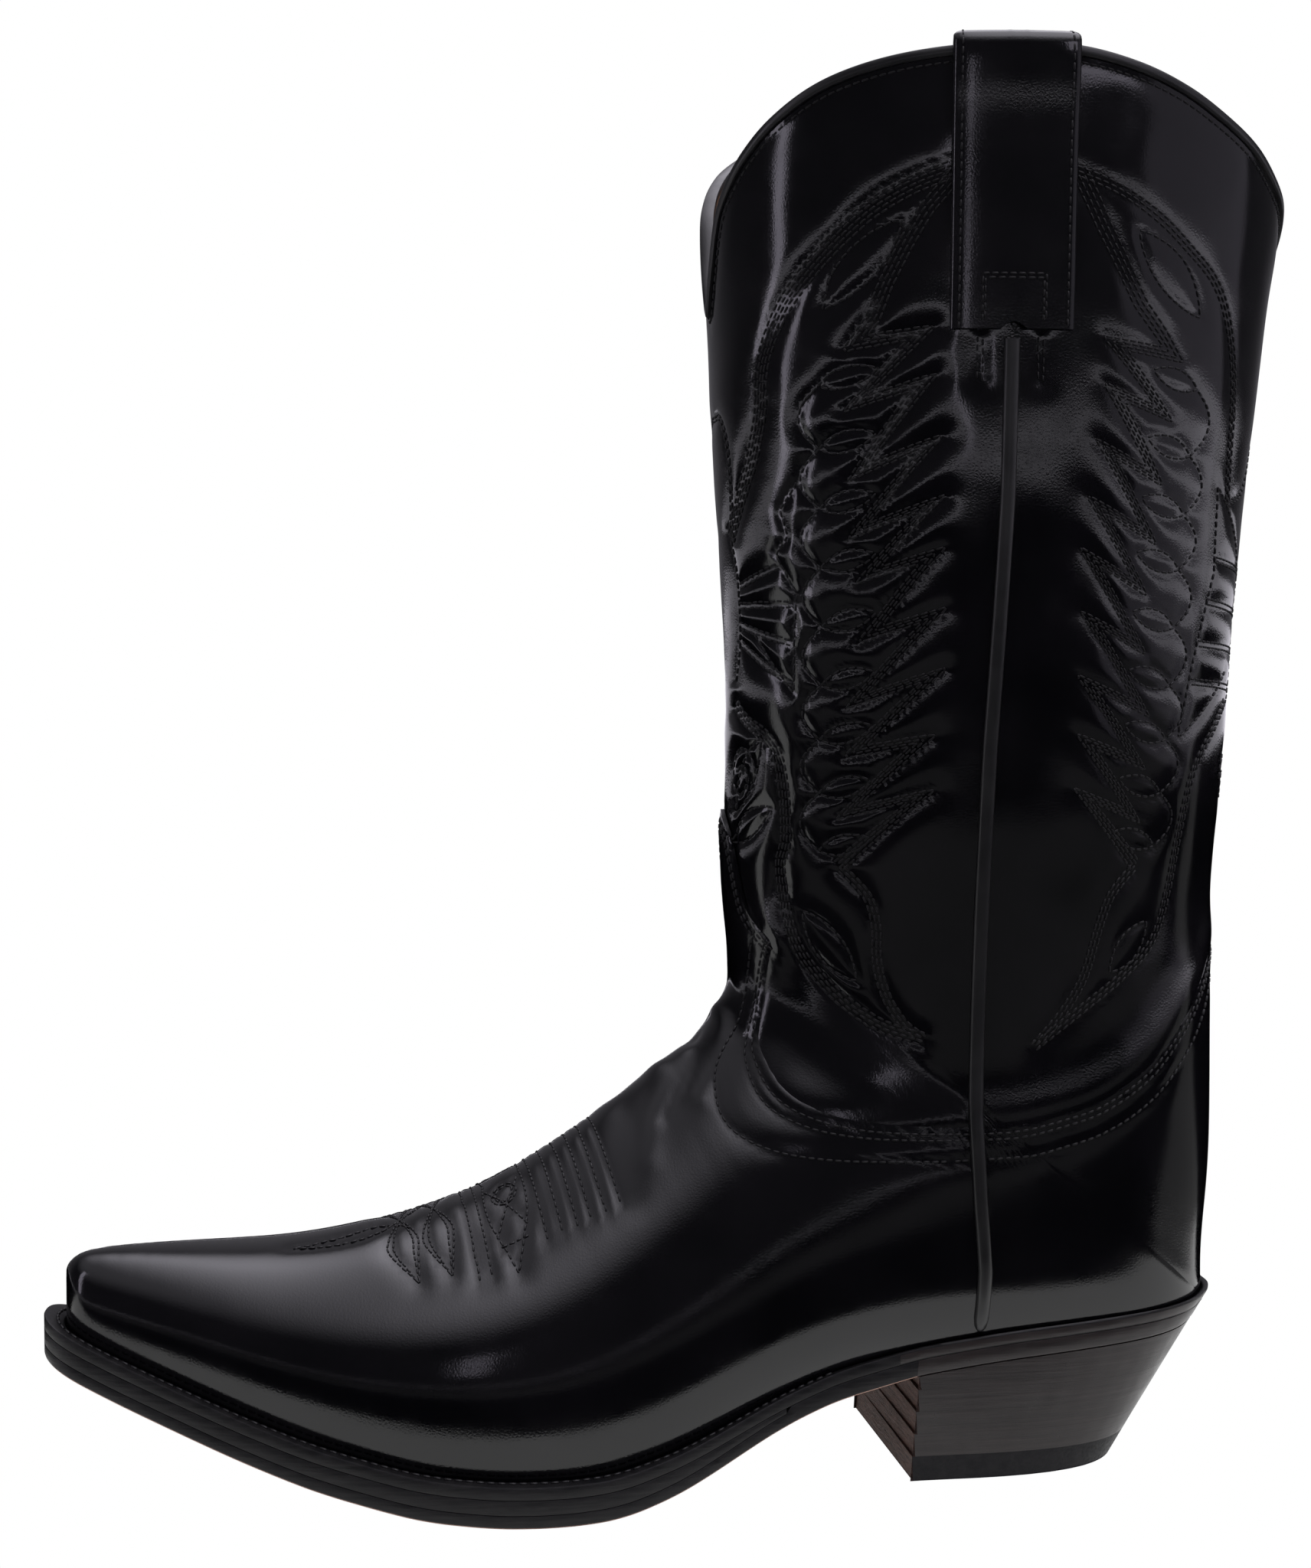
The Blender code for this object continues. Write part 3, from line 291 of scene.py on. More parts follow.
def surface(k, t, side):
    """The point (x, y, z) at (k, t, side); k and t may be arrays."""
    ax, az, bx, bz, _, _, _, _, middle, above, below = section(k)
    feather, widest = half_widths(k, side)
    t = np.asarray(t, float)
    cut = 1 - (feather / widest) ** below
    front = np.pi * np.clip(t, 0, 0.5)
    back = np.clip(2 * t - 1, 0, 1) * np.arcsin(np.sqrt(cut))
    s_front = middle * (1 - np.cos(front) ** (2 / above))
    y_front = widest * np.sin(front) ** (2 / above)
    s_back = middle + (1 - middle) * np.sin(back) ** (2 / below) / cut ** (1 / below)
    y_back = widest * np.maximum(np.cos(back), 0) ** (2 / below)
    s, y = np.where(t < 0.5, s_front, s_back), np.where(t < 0.5, y_front, y_back)
    return np.stack([ax + s * (bx - ax), np.where(np.asarray(side) < 0, -y, y), az + s * (bz - az)], -1)


def slopes(k, t, side, step=1e-3):
    """How the surface moves with k and with t."""
    along_k = (surface(k + step, t, side) - surface(k - step, t, side)) / (2 * step)
    along_t = (surface(k, t + step, side) - surface(k, t - step, side)) / (2 * step)
    return along_k, along_t


def normals_at(k, t, side):
    """Outward normals of the smooth surface."""
    along_k, along_t = slopes(k, t, side)
    n = np.cross(along_t, along_k) * -np.reshape(side, (-1, 1))
    n[:, 1] = np.where(np.abs(surface(k, t, side)[:, 1]) < 1e-3, 0, n[:, 1])
    return unit(n)


def normal_at(k, t, side):
    """The outward normal at one place."""
    return normals_at(np.array([k]), np.array([t]), np.array([side]))[0]


def at_height(t, z):
    """The k at which the lines t of the instep and leg reach the heights z."""
    t, z = np.broadcast_arrays(np.asarray(t, float), np.asarray(z, float))
    ks = np.linspace(11, LAST, 200)
    k = np.interp(z, surface(ks, np.full(200, 0.3), OUTER)[:, 2], ks)
    for _ in range(30):
        error = z - surface(k, t, OUTER)[..., 2]
        rise = (surface(k + 0.02, t, OUTER)[..., 2] - surface(k - 0.02, t, OUTER)[..., 2]) / 0.04
        k = np.clip(k + np.clip(error / np.maximum(rise, 0.5), -0.5, 0.5), 10, LAST)
    return k


SEARCH_K, SEARCH_T = np.meshgrid(np.linspace(10, LAST, 260), np.linspace(0.25, 1, 160),
                                 indexing="ij")
SEARCH_POINTS = surface(SEARCH_K, SEARCH_T, OUTER)


def locate(x, z):
    """The (k, t) of a point of the boot's side seen from the side."""
    far = np.hypot(SEARCH_POINTS[..., 0] - x, SEARCH_POINTS[..., 2] - z)
    best = np.unravel_index(np.argmin(far), far.shape)
    k, t = float(SEARCH_K[best]), float(SEARCH_T[best])
    for _ in range(4):
        p = surface(k, t, OUTER)
        dk, dt = slopes(k, t, OUTER)
        matrix = np.array([[dk[0], dt[0]], [dk[2], dt[2]]])
        move = np.linalg.lstsq(matrix, np.array([x - p[0], z - p[2]]), rcond=None)[0]
        k, t = k + float(move[0]), min(1.0, t + float(move[1]))
    return k, t


def seam_place(z):
    """The (k, t) of the side seam at a height."""
    xs, zs = np.array(SIDE_SEAM).T
    return locate(float(np.interp(z, zs, xs)), z)


# ---------------------------------------------------------------- curves

def resample(points, spacing):
    """Evenly spaced points along a polyline."""
    points = np.asarray(points, float)
    run = running_length(points)
    count = max(1, round(run[-1] / spacing))
    return sample(np.linspace(0, run[-1], count + 1), run, points)


def smooth_through(points, spacing):
    """A smooth curve through the points, evenly sampled."""
    p = np.asarray(points, float)
    ext = np.concatenate([2 * p[:1] - p[1:2], p, 2 * p[-1:] - p[-2:-1]])
    s = np.linspace(0, 1, 12, endpoint=False)[:, None]
    spans = []
    for a, b, c, d in zip(ext, ext[1:], ext[2:], ext[3:]):
        bend = 2 * a - 5 * b + 4 * c - d + s * (3 * b - a - 3 * c + d)
        spans.append(b + 0.5 * s * (c - a + s * bend))
    return resample(np.concatenate(spans + [p[-1:]]), spacing)


LEG_GIRTH = 195.0              # about half the leg's girth, for drawings on the leg


def drawn(points, spacing=1.0, smooth=True):
    """Places (k, t) of a line drawn on the leg through (t, z) points."""
    flat = np.asarray(points, float) * (LEG_GIRTH, 1)
    flat = smooth_through(flat, spacing) if smooth else resample(flat, spacing)
    return on_leg(flat)


def on_leg(flat):
    """Places (k, t) of points drawn flat: millimetres round the leg and height."""
    t = np.clip(flat[:, 0] / LEG_GIRTH, 0, 1)
    return np.stack([at_height(t, flat[:, 1]), t], 1)


# ---------------------------------------------------------------- nets of triangles

NET_K = np.linspace(0, LAST, 1500)
NET_T = np.linspace(0, 1, 40)
NET_GRID = surface(NET_K[:, None], NET_T[None, :], OUTER)
NET_STEP = np.linalg.norm(np.diff(NET_GRID, axis=0), axis=2).max(axis=1)
NET_RUN = np.concatenate([[0], np.cumsum(NET_STEP)])
NET_GIRTH = np.linalg.norm(np.diff(NET_GRID, axis=1), axis=2).sum(axis=1)


def to_flat(places):
    """Places (k, t) on a flat sheet, in millimetres or so."""
    k, t = np.asarray(places, float).T
    return np.stack([np.interp(k, NET_K, NET_RUN), t * np.interp(k, NET_K, NET_GIRTH)], 1)


def from_flat(flat):
    k = np.interp(flat[:, 0], NET_RUN, NET_K)
    return np.stack([k, np.clip(flat[:, 1] / np.interp(k, NET_K, NET_GIRTH), 0, 1)], 1)


def is_inside(polygon, points):
    """Which points are inside the flat polygon."""
    hit = np.zeros(len(points), bool)
    for (x1, y1), (x2, y2) in zip(polygon, np.roll(polygon, -1, axis=0)):
        if y1 != y2:
            spans = (y1 > points[:, 1]) != (y2 > points[:, 1])
            hit ^= spans & (points[:, 0] < (x2 - x1) * (points[:, 1] - y1) / (y2 - y1) + x1)
    return hit


def tree_of(points):
    tree = kdtree.KDTree(len(points))
    for i, p in enumerate(points):
        tree.insert(p if len(p) == 3 else (*p, 0), i)
    tree.balance()
    return tree


def distances(tree, points):
    return np.array([tree.find(p if len(p) == 3 else (*p, 0))[2] for p in points])


def flat_border(outline, spacing, k_step=0.15):
    """The outline of places as an evenly sampled flat polygon."""
    closed = np.concatenate([outline, outline[:1]])
    steps = [np.linspace(a, b, 1 + math.ceil(abs(b[0] - a[0]) / k_step), endpoint=False)
             for a, b in zip(closed, closed[1:])]
    border = to_flat(np.concatenate(steps))
    ends = np.roll(border, -1, axis=0)
    return np.concatenate([resample([a, b], spacing)[:-1] for a, b in zip(border, ends)])


def flat_filling(border, spacing):
    """Evenly spread points inside the flat polygon, clear of its border."""
    rows = []
    for row in np.arange(NET_RUN[0], NET_RUN[-1], spacing):
        girth = np.interp(row, NET_RUN, NET_GIRTH)
        columns = np.linspace(0, girth, max(3, round(girth / spacing)) + 1)
        rows.append(np.stack([np.full(len(columns), row), columns], 1))
    inner = np.concatenate(rows)
    inner = inner[is_inside(border, inner)]
    return inner[distances(tree_of(border), inner) > 0.45 * spacing]


def triangulate(outline, spacing):
    """Triangles over the outline of places: (k, t) of each corner, and the triangles."""
    border = flat_border(outline, spacing)
    flat = [Vector(p) for p in np.concatenate([border, flat_filling(border, spacing)])]
    edges = [(i, (i + 1) % len(border)) for i in range(len(border))]
    verts, _, faces, _, _, _ = delaunay_2d_cdt(flat, edges, [], 0, 1e-4, False)
    verts, faces = np.array([tuple(v) for v in verts]), np.array([f for f in faces if len(f) == 3])
    a, b, c = verts[faces[:, 0]], verts[faces[:, 1]], verts[faces[:, 2]]
    area = np.abs((b - a)[:, 0] * (c - a)[:, 1] - (b - a)[:, 1] * (c - a)[:, 0]) / 2
    faces = faces[is_inside(border, (a + b + c) / 3) & (area > 1e-3)]
    return from_flat(verts), faces


class Leather:
    """A piece of leather over both halves of the boot, between two distances from the surface."""

    def __init__(self, outline, spacing):
        self.join_halves(*triangulate(outline, spacing))
        self.find_border()
        self.smooth(SMOOTHING_ROUNDS)
        self.normals = self.mesh_normals()

    def join_halves(self, places, faces):
        """Puts the triangles on both sides, joined along the middle of front and back."""
        k, t = places.T
        points, normals, triangles, kept = [], [], [], []
        index = {}
        for side in (OUTER, INNER):
            p, n = surface(k, t, side), normals_at(k, t, np.full(len(k), side))
            ids = np.empty(len(k), int)
            for i in range(len(k)):
                shared = abs(p[i, 1]) < 1e-3
                if shared and i in index:
                    ids[i] = index[i]
                else:
                    ids[i] = len(points)
                    if shared:
                        index[i] = ids[i]
                    points.append(p[i])
                    normals.append(n[i])
                    kept.append((k[i], t[i], side))
            local = ids[faces]
            triangles.append(local if side == OUTER else local[:, ::-1])
        self.points, self.normals = np.array(points), np.array(normals)
        self.places = np.array(kept)
        triangles = np.concatenate(triangles)
        flat = np.abs(self.points[triangles][:, :, 1]).max(axis=1) < 1e-3
        self.triangles = triangles[~flat]

    def smooth(self, rounds):
        """Evens out the creases between sections and keeps the size; the edges stay."""
        tri = self.triangles
        edges = np.concatenate([tri[:, [0, 1]], tri[:, [1, 2]], tri[:, [2, 0]]])
        edges = np.concatenate([edges, edges[:, ::-1]])
        count = np.bincount(edges[:, 0], minlength=len(self.points))[:, None]
        fixed = np.zeros(len(self.points), bool)
        fixed[self.border.ravel()] = True
        for step in SMOOTHING_STEPS * rounds:
            total = np.zeros_like(self.points)
            np.add.at(total, edges[:, 0], self.points[edges[:, 1]])
            mean = total / np.maximum(count, 1)
            moved = self.points + (mean - self.points) * step
            self.points = np.where(fixed[:, None], self.points, moved)

    def mesh_normals(self):
        a, b, c = (self.points[self.triangles[:, i]] for i in range(3))
        face = np.cross(b - a, c - a)
        total = np.zeros_like(self.points)
        for i in range(3):
            np.add.at(total, self.triangles[:, i], face)
        total *= np.sign((total * self.normals).sum(axis=1))[:, None]
        return total / np.maximum(np.linalg.norm(total, axis=1), 1e-9)[:, None]

    def find_border(self):
        count = len(self.points)
        tri = self.triangles
        directed = np.concatenate([tri[:, [0, 1]], tri[:, [1, 2]], tri[:, [2, 0]]])
        key = directed[:, 0] * count + directed[:, 1]
        back = directed[:, 1] * count + directed[:, 0]
        self.border = directed[~np.isin(key, back)]

    def build(self, name, layer, look, relief=None, rounding=0.5):
        """Makes the closed piece; relief gives each point's height over its outer face."""
        points, normals = self.points, self.normals
        centre = points[self.border].mean(axis=1)
        far = distances(tree_of(centre), points)
        low = (self.places[:, 1] > 0.999) & (self.places[:, 0] <= HEEL_CORNER)
        edge = np.clip(1 - far / 1.3, 0, 1) ** 2
        lift = np.zeros(len(points)) if relief is None else relief(points, self.places)
        outer = points + normals * (layer[1] - rounding * edge + lift)[:, None]
        inner = points + normals * layer[0]
        for face in (outer, inner):
            floor = seat_z(face[:, 0]) + 0.2
            face[:, 2] = np.where(low, np.maximum(face[:, 2], floor), face[:, 2])
        count = len(points)
        tri, border = self.triangles, self.border
        a, b = border.T
        sides = [np.stack([a, b, b + count], 1), np.stack([a, b + count, a + count], 1)]
        faces = np.concatenate([tri[:, ::-1], tri + count, *sides])
        return make_mesh(name, np.concatenate([inner, outer]), faces, [look])


# ---------------------------------------------------------------- making meshes

def make_mesh(name, points, faces, looks, face_looks=None, sharp=40):
    """A mesh object from points in millimetres of the part's design frame."""
    mesh = bpy.data.meshes.new(name)
    points = (np.asarray(points, float) + (SHIFT_X, 0, 0)) * MM
    faces = [tuple(int(i) for i in f) for f in faces]
    mesh.from_pydata([tuple(p) for p in points.tolist()], [], faces)
    for look in looks:
        mesh.materials.append(look)
    if face_looks is not None:
        mesh.polygons.foreach_set("material_index", np.asarray(face_looks, np.int32))
    mesh.shade_smooth()
    if sharp:
        mesh.set_sharp_from_angle(angle=math.radians(sharp))
    return put(name, mesh)


def put(name, data):
    """A new object in the scene."""
    made = bpy.data.objects.new(name, data)
    bpy.context.scene.collection.objects.link(made)
    return made


def settle(piece, slot, *nodes):
    """The piece rides on the boot and stands for the nodes; the slot is not used."""
    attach(piece, "root")
    if nodes:
        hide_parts(*nodes)
    return piece


# ---------------------------------------------------------------- materials

def set_range(node, low, high, out_low, out_high):
    """The numbers of a map range node."""
    keys = ("From Min", "From Max", "To Min", "To Max")
    for key, number in zip(keys, (low, high, out_low, out_high)):
        node.inputs[key].default_value = number


class Look:
    """A node material with short ways to add its parts."""

    def __init__(self, name):
        self.made = bpy.data.materials.new(name)
        self.made.use_nodes = True
        self.tree = self.made.node_tree
        self.shader = self.tree.nodes["Principled BSDF"]
        self.place = self.add("ShaderNodeTexCoord").outputs["Object"]

    def add(self, kind, **settings):
        node = self.tree.nodes.new(kind)
        for key, value in settings.items():
            setattr(node, key, value)
        return node

    def link(self, source, target):
        self.tree.links.new(source, target)

    def set(self, **values):
        for key, value in values.items():
            self.shader.inputs[key.replace("_", " ")].default_value = value

    def noise(self, size_mm, detail=3.0, roughness=0.5, stretch=None):
        """Noise whose features are about size_mm across."""
        node = self.add("ShaderNodeTexNoise")
        node.inputs["Scale"].default_value = 1 / (size_mm * MM)
        node.inputs["Detail"].default_value = detail
        node.inputs["Roughness"].default_value = roughness
        self.link(self.stretched(stretch), node.inputs["Vector"])
        return node.outputs["Fac"]

    def cells(self, size_mm):
        """How far it is to the edge of the nearest cell."""
        node = self.add("ShaderNodeTexVoronoi", feature="DISTANCE_TO_EDGE")
        node.inputs["Scale"].default_value = 1 / (size_mm * MM)
        self.link(self.place, node.inputs["Vector"])
        return node.outputs["Distance"]

    def stretched(self, stretch):
        if stretch is None:
            return self.place
        node = self.add("ShaderNodeMapping")
        node.inputs["Scale"].default_value = stretch
        self.link(self.place, node.inputs["Vector"])
        return node.outputs["Vector"]

    def ramp(self, value, low, high, out_low, out_high):
        """Maps the value's range low..high onto out_low..out_high."""
        node = self.add("ShaderNodeMapRange")
        set_range(node, low, high, out_low, out_high)
        self.link(value, node.inputs["Value"])
        return node.outputs["Result"]

    def tones(self, value, low, high, first, second):
        """A colour that goes from the first to the second as the value goes from low to high."""
        return self.mix(self.ramp(value, low, high, 0, 1), first, second)

    def mix(self, factor, first, second):
        node = self.add("ShaderNodeMix", data_type="RGBA")
        node.inputs[6].default_value = (*first, 1)
        node.inputs[7].default_value = (*second, 1)
        self.link(factor, node.inputs["Factor"])
        return node.outputs[2]

    def bump(self, height, depth_mm, below=None):
        node = self.add("ShaderNodeBump")
        node.inputs["Distance"].default_value = depth_mm * MM
        node.inputs["Strength"].default_value = 1.0
        self.link(height, node.inputs["Height"])
        if below is not None:
            self.link(below, node.inputs["Normal"])
        return node.outputs["Normal"]

    def finish(self, colour=None, roughness=None, normal=None):
        for source, name in ((colour, "Base Color"), (roughness, "Roughness"), (normal, "Normal")):
            if source is not None:
                self.link(source, self.shader.inputs[name])
        return self.made


def black_leather():
    """Polished black leather: a fine pebble grain under a glossy finish."""
    look = Look("black_leather")
    look.set(Specular_IOR_Level=0.5)
    patches = look.noise(26, detail=2)
    colour = look.tones(patches, 0.35, 0.7, (0.0015, 0.0015, 0.002), (0.003, 0.0028, 0.0035))
    rough = look.ramp(look.noise(9, detail=4), 0.3, 0.75, 0.08, 0.15)
    pebbles = look.bump(look.ramp(look.cells(0.9), 0.0, 0.35, 0, 1), 0.005)
    normal = look.bump(look.noise(0.45, detail=4), 0.009, pebbles)
    return look.finish(colour, rough, normal)


def matt_leather():
    """The same leather left dull, for the piping and the top binding."""
    look = Look("matt_leather")
    look.set(Specular_IOR_Level=0.5)
    colour = look.tones(look.noise(12), 0.35, 0.7, (0.004, 0.004, 0.0045), (0.009, 0.009, 0.009))
    rough = look.ramp(look.noise(5, detail=4), 0.3, 0.75, 0.30, 0.42)
    return look.finish(colour, rough, look.bump(look.noise(0.6, detail=4), 0.03))


def black_thread():
    look = Look("black_thread")
    look.set(Specular_IOR_Level=0.3)
    strands = look.noise(0.35, detail=2)
    colour = look.mix(strands, (0.003, 0.003, 0.0035), (0.008, 0.0075, 0.008))
    rough = look.ramp(look.noise(2.0), 0.3, 0.7, 0.34, 0.52)
    return look.finish(colour, rough, look.bump(strands, 0.05))


def tan_leather(name="tan_leather", light=(0.47, 0.25, 0.115), dark=(0.33, 0.165, 0.07)):
    """Natural leather: soft mottling, fine pores, hardly any gloss."""
    look = Look(name)
    look.set(Specular_IOR_Level=0.3)
    colour = look.tones(look.noise(14, detail=5), 0.3, 0.7, dark, light)
    rough = look.ramp(look.noise(5), 0.3, 0.7, 0.55, 0.75)
    pores = look.bump(look.ramp(look.cells(0.7), 0, 0.3, 0, 1), 0.04)
    return look.finish(colour, rough, look.bump(look.noise(0.5), 0.05, pores))


def sole_edge():
    """The dyed and burnished edge of welt and sole, with its fine layers."""
    look = Look("sole_edge")
    look.set(Specular_IOR_Level=0.24)
    streaks = look.noise(1.2, detail=4, stretch=(0.12, 0.12, 1.6))
    colour = look.tones(streaks, 0.35, 0.7, (0.004, 0.004, 0.0045), (0.011, 0.0105, 0.0105))
    rough = look.ramp(look.noise(4, detail=4), 0.3, 0.7, 0.36, 0.52)
    fine = look.bump(look.noise(0.5), 0.03)
    return look.finish(colour, rough, look.bump(streaks, 0.08, fine))


def heel_side():
    """Stacked leather, dyed dark brown and waxed smooth."""
    look = Look("heel_side")
    look.set(Specular_IOR_Level=0.4)
    streaks = look.noise(1.6, detail=5, roughness=0.6, stretch=(0.07, 0.07, 1.7))
    spots = look.noise(7, detail=3)
    colour = look.tones(streaks, 0.36, 0.68, (0.012, 0.0095, 0.009), (0.022, 0.0172, 0.0158))
    rough = look.ramp(spots, 0.3, 0.7, 0.26, 0.42)
    return look.finish(colour, rough, look.bump(streaks, 0.07, look.bump(look.noise(0.5), 0.02)))


def raw_breast():
    """The heel's front face: rough cut leather layers, brown."""
    look = Look("raw_breast")
    look.set(Specular_IOR_Level=0.3)
    layers = look.noise(2.2, detail=6, roughness=0.7, stretch=(0.4, 0.35, 2.2))
    crumbs = look.noise(0.8, detail=5, roughness=0.75)
    colour = look.tones(layers, 0.3, 0.72, (0.03, 0.016, 0.013), (0.16, 0.09, 0.068))
    rough = look.ramp(crumbs, 0.3, 0.7, 0.6, 0.85)
    return look.finish(colour, rough, look.bump(layers, 0.7, look.bump(crumbs, 0.35)))


def black_rubber():
    look = Look("black_rubber")
    look.set(Specular_IOR_Level=0.18)
    dust = look.noise(3, detail=6, roughness=0.65)
    colour = look.tones(dust, 0.4, 0.75, (0.005, 0.005, 0.006), (0.012, 0.0115, 0.012))
    rough = look.ramp(look.noise(0.9), 0.3, 0.7, 0.42, 0.62)
    return look.finish(colour, rough, look.bump(look.noise(0.6, detail=4), 0.06))


def plain_look(name, light, dark, size_mm, rough, metallic=0.0, depth_mm=0.03):
    """A simple two-tone material for the pieces inside the boot."""
    look = Look(name)
    look.set(Metallic=metallic)
    grain = look.noise(size_mm, detail=4)
    colour = look.tones(grain, 0.35, 0.65, dark, light)
    spread = look.ramp(look.noise(size_mm * 2), 0.3, 0.7, rough - 0.06, rough + 0.06)
    return look.finish(colour, spread, look.bump(grain, depth_mm))


# ---------------------------------------------------------------- stitching

def ground_tree(pieces):
    """A search tree over the faces of the leather pieces."""
    points, faces = [], []
    for piece in pieces:
        base = len(points)
        points += [v.co / MM - Vector((SHIFT_X, 0, 0)) for v in piece.data.vertices]
        faces += [[i + base for i in face.vertices] for face in piece.data.polygons]
    return BVHTree.FromPolygons(points, faces)


def laid_down(points, ground):
    """The points moved onto the nearest leather."""
    return np.array([ground.find_nearest(Vector(p))[0] for p in points])


# A stitch's bead: place along it, width of its ring and height of its centre.
BEAD = ((-0.5, 0.0, -0.55), (-0.32, 0.9, -0.12), (0.32, 0.9, -0.12), (0.5, 0.0, -0.55))


class Thread:
    """Collects rows of stitches and makes them into pieces."""

    def __init__(self):
        self.groups = {}
        self.dips = []
        self.stagger = 0.3

    def row(self, group, places, side, height, dip=1.0, pitch=STITCH_PITCH, radius=THREAD_RADIUS):
        """A row of stitches along the places, at a height over the smooth surface."""
        k, t = np.asarray(places, float).T
        signs = np.where(t < 0, -side, side)
        t = np.abs(t)
        points, normals = surface(k, t, signs), normals_at(k, t, signs)
        self.line(group, points, normals, height, dip, pitch, radius)

    def line(self, group, points, normals, height, dip=1.0, pitch=STITCH_PITCH, radius=THREAD_RADIUS):
        """The same along a line of points in space; dip is how far the leather sinks along it."""
        run = running_length(points)
        if run[-1] < pitch:
            return
        if dip:
            at = np.arange(0, run[-1], 0.8)
            self.dips.append(np.column_stack([sample(at, run, points), np.full(len(at), dip)]))
        count = max(1, round(run[-1] / pitch))
        self.stagger = 1.0 - self.stagger
        at = (np.arange(count) + self.stagger) * run[-1] / count
        half = run[-1] / count * STITCH_SHARE / 2
        start, end = sample(at - half, run, points), sample(at + half, run, points)
        normal = unit(sample(at, run, normals))
        self.groups.setdefault(group, []).append((start, end, normal, height, radius))

    def beads(self, start, end, normal, radius, ring=6):
        """Points and faces of one bead for each stitch: two tips and two rings between them."""
        middle = (start + end) / 2 + normal * (0.3 * radius)
        ahead = end - start
        length = np.linalg.norm(ahead, axis=1)[:, None]
        ahead = ahead / np.maximum(length, 1e-6)
        across = np.cross(normal, ahead)
        turn = (np.arange(ring) * 2 * np.pi / ring)[None, :, None]
        circle = across[:, None, :] * np.cos(turn) + normal[:, None, :] * np.sin(turn)
        rings = []
        for along, wide, sink in BEAD:
            centre = middle + ahead * length * along + normal * (sink * radius)
            rings.append(centre[:, None, :] + circle * radius * wide if wide else centre[:, None, :])
        points = np.concatenate(rings, axis=1)
        size = points.shape[1]
        faces = []
        for j in range(ring):
            n = (j + 1) % ring
            faces.append((0, 1 + n, 1 + j))
            faces.append((1 + j, 1 + n, 1 + ring + n))
            faces.append((1 + j, 1 + ring + n, 1 + ring + j))
            faces.append((1 + ring + j, 1 + ring + n, size - 1))
        offsets = (np.arange(len(points)) * size)[:, None, None]
        return points.reshape(-1, 3), (np.array(faces)[None] + offsets).reshape(-1, 3)

    def build(self, look, leathers):
        """Makes each group's stitches, laid down on the leather they are sewn into."""
        ground = ground_tree(leathers)
        for group, rows in self.groups.items():
            points, faces, base = [], [], 0
            for start, end, normal, height, radius in rows:
                lift = normal * height
                start, end = laid_down(start + lift, ground), laid_down(end + lift, ground)
                p, f = self.beads(start, end, normal, radius)
                points.append(p)
                faces.append(f + base)
                base += len(p)
            piece = make_mesh(group, np.concatenate(points), np.concatenate(faces), [look], sharp=0)
            settle(piece, "upper_leather")

    def relief(self):
        """A function that sinks the leather along the rows of stitches."""
        dips = np.concatenate(self.dips)
        tree = tree_of(dips[:, :3])

        def lift(points, places):
            out = np.zeros(len(points))
            for i, p in enumerate(points):
                _, index, far = tree.find(p)
                if far < DIP_REACH:
                    depth = sum(deep * math.exp(-(far / wide) ** 2)
                                for deep, wide in (NARROW_DIP, BROAD_DIP))
                    out[i] = -dips[index, 3] * depth
            return out

        return lift


def mitred(points, distance):
    """A flat polyline moved sideways, with its corners kept sharp."""
    p = np.asarray(points, float)
    step = unit(np.diff(p, axis=0))
    left = np.stack([-step[:, 1], step[:, 0]], 1)
    before, after = np.concatenate([left[:1], left]), np.concatenate([left, left[-1:]])
    both = unit(before + after)
    reach = np.maximum((both * before).sum(1), 0.45)
    return p + both * (distance / reach)[:, None]


def beside(points, distance, smooth=True):
    """Places of a line at a distance to the left of one drawn on the leg."""
    flat = np.asarray(points, float) * (LEG_GIRTH, 1)
    if smooth:
        flat = smooth_through(flat, 1.5)
    return on_leg(resample(mitred(flat, distance), 0.8))


def leaf_points(base, tip, width, sign):
    """One edge of a leaf from base to tip, bulging by width."""
    base, tip = np.asarray(base, float), np.asarray(tip, float)
    s = np.linspace(0, 1, 14)[:, None]
    along = tip - base
    across = np.array([-along[1], along[0]]) / np.linalg.norm(along)
    bulge = np.sin(np.pi * s) ** 0.8
    return base + along * s + across * (sign * width * bulge)


SCALLOP = ((0.25, 0.022), (0.5, 0.030), (0.75, 0.022))   # share of the way, bulge in t


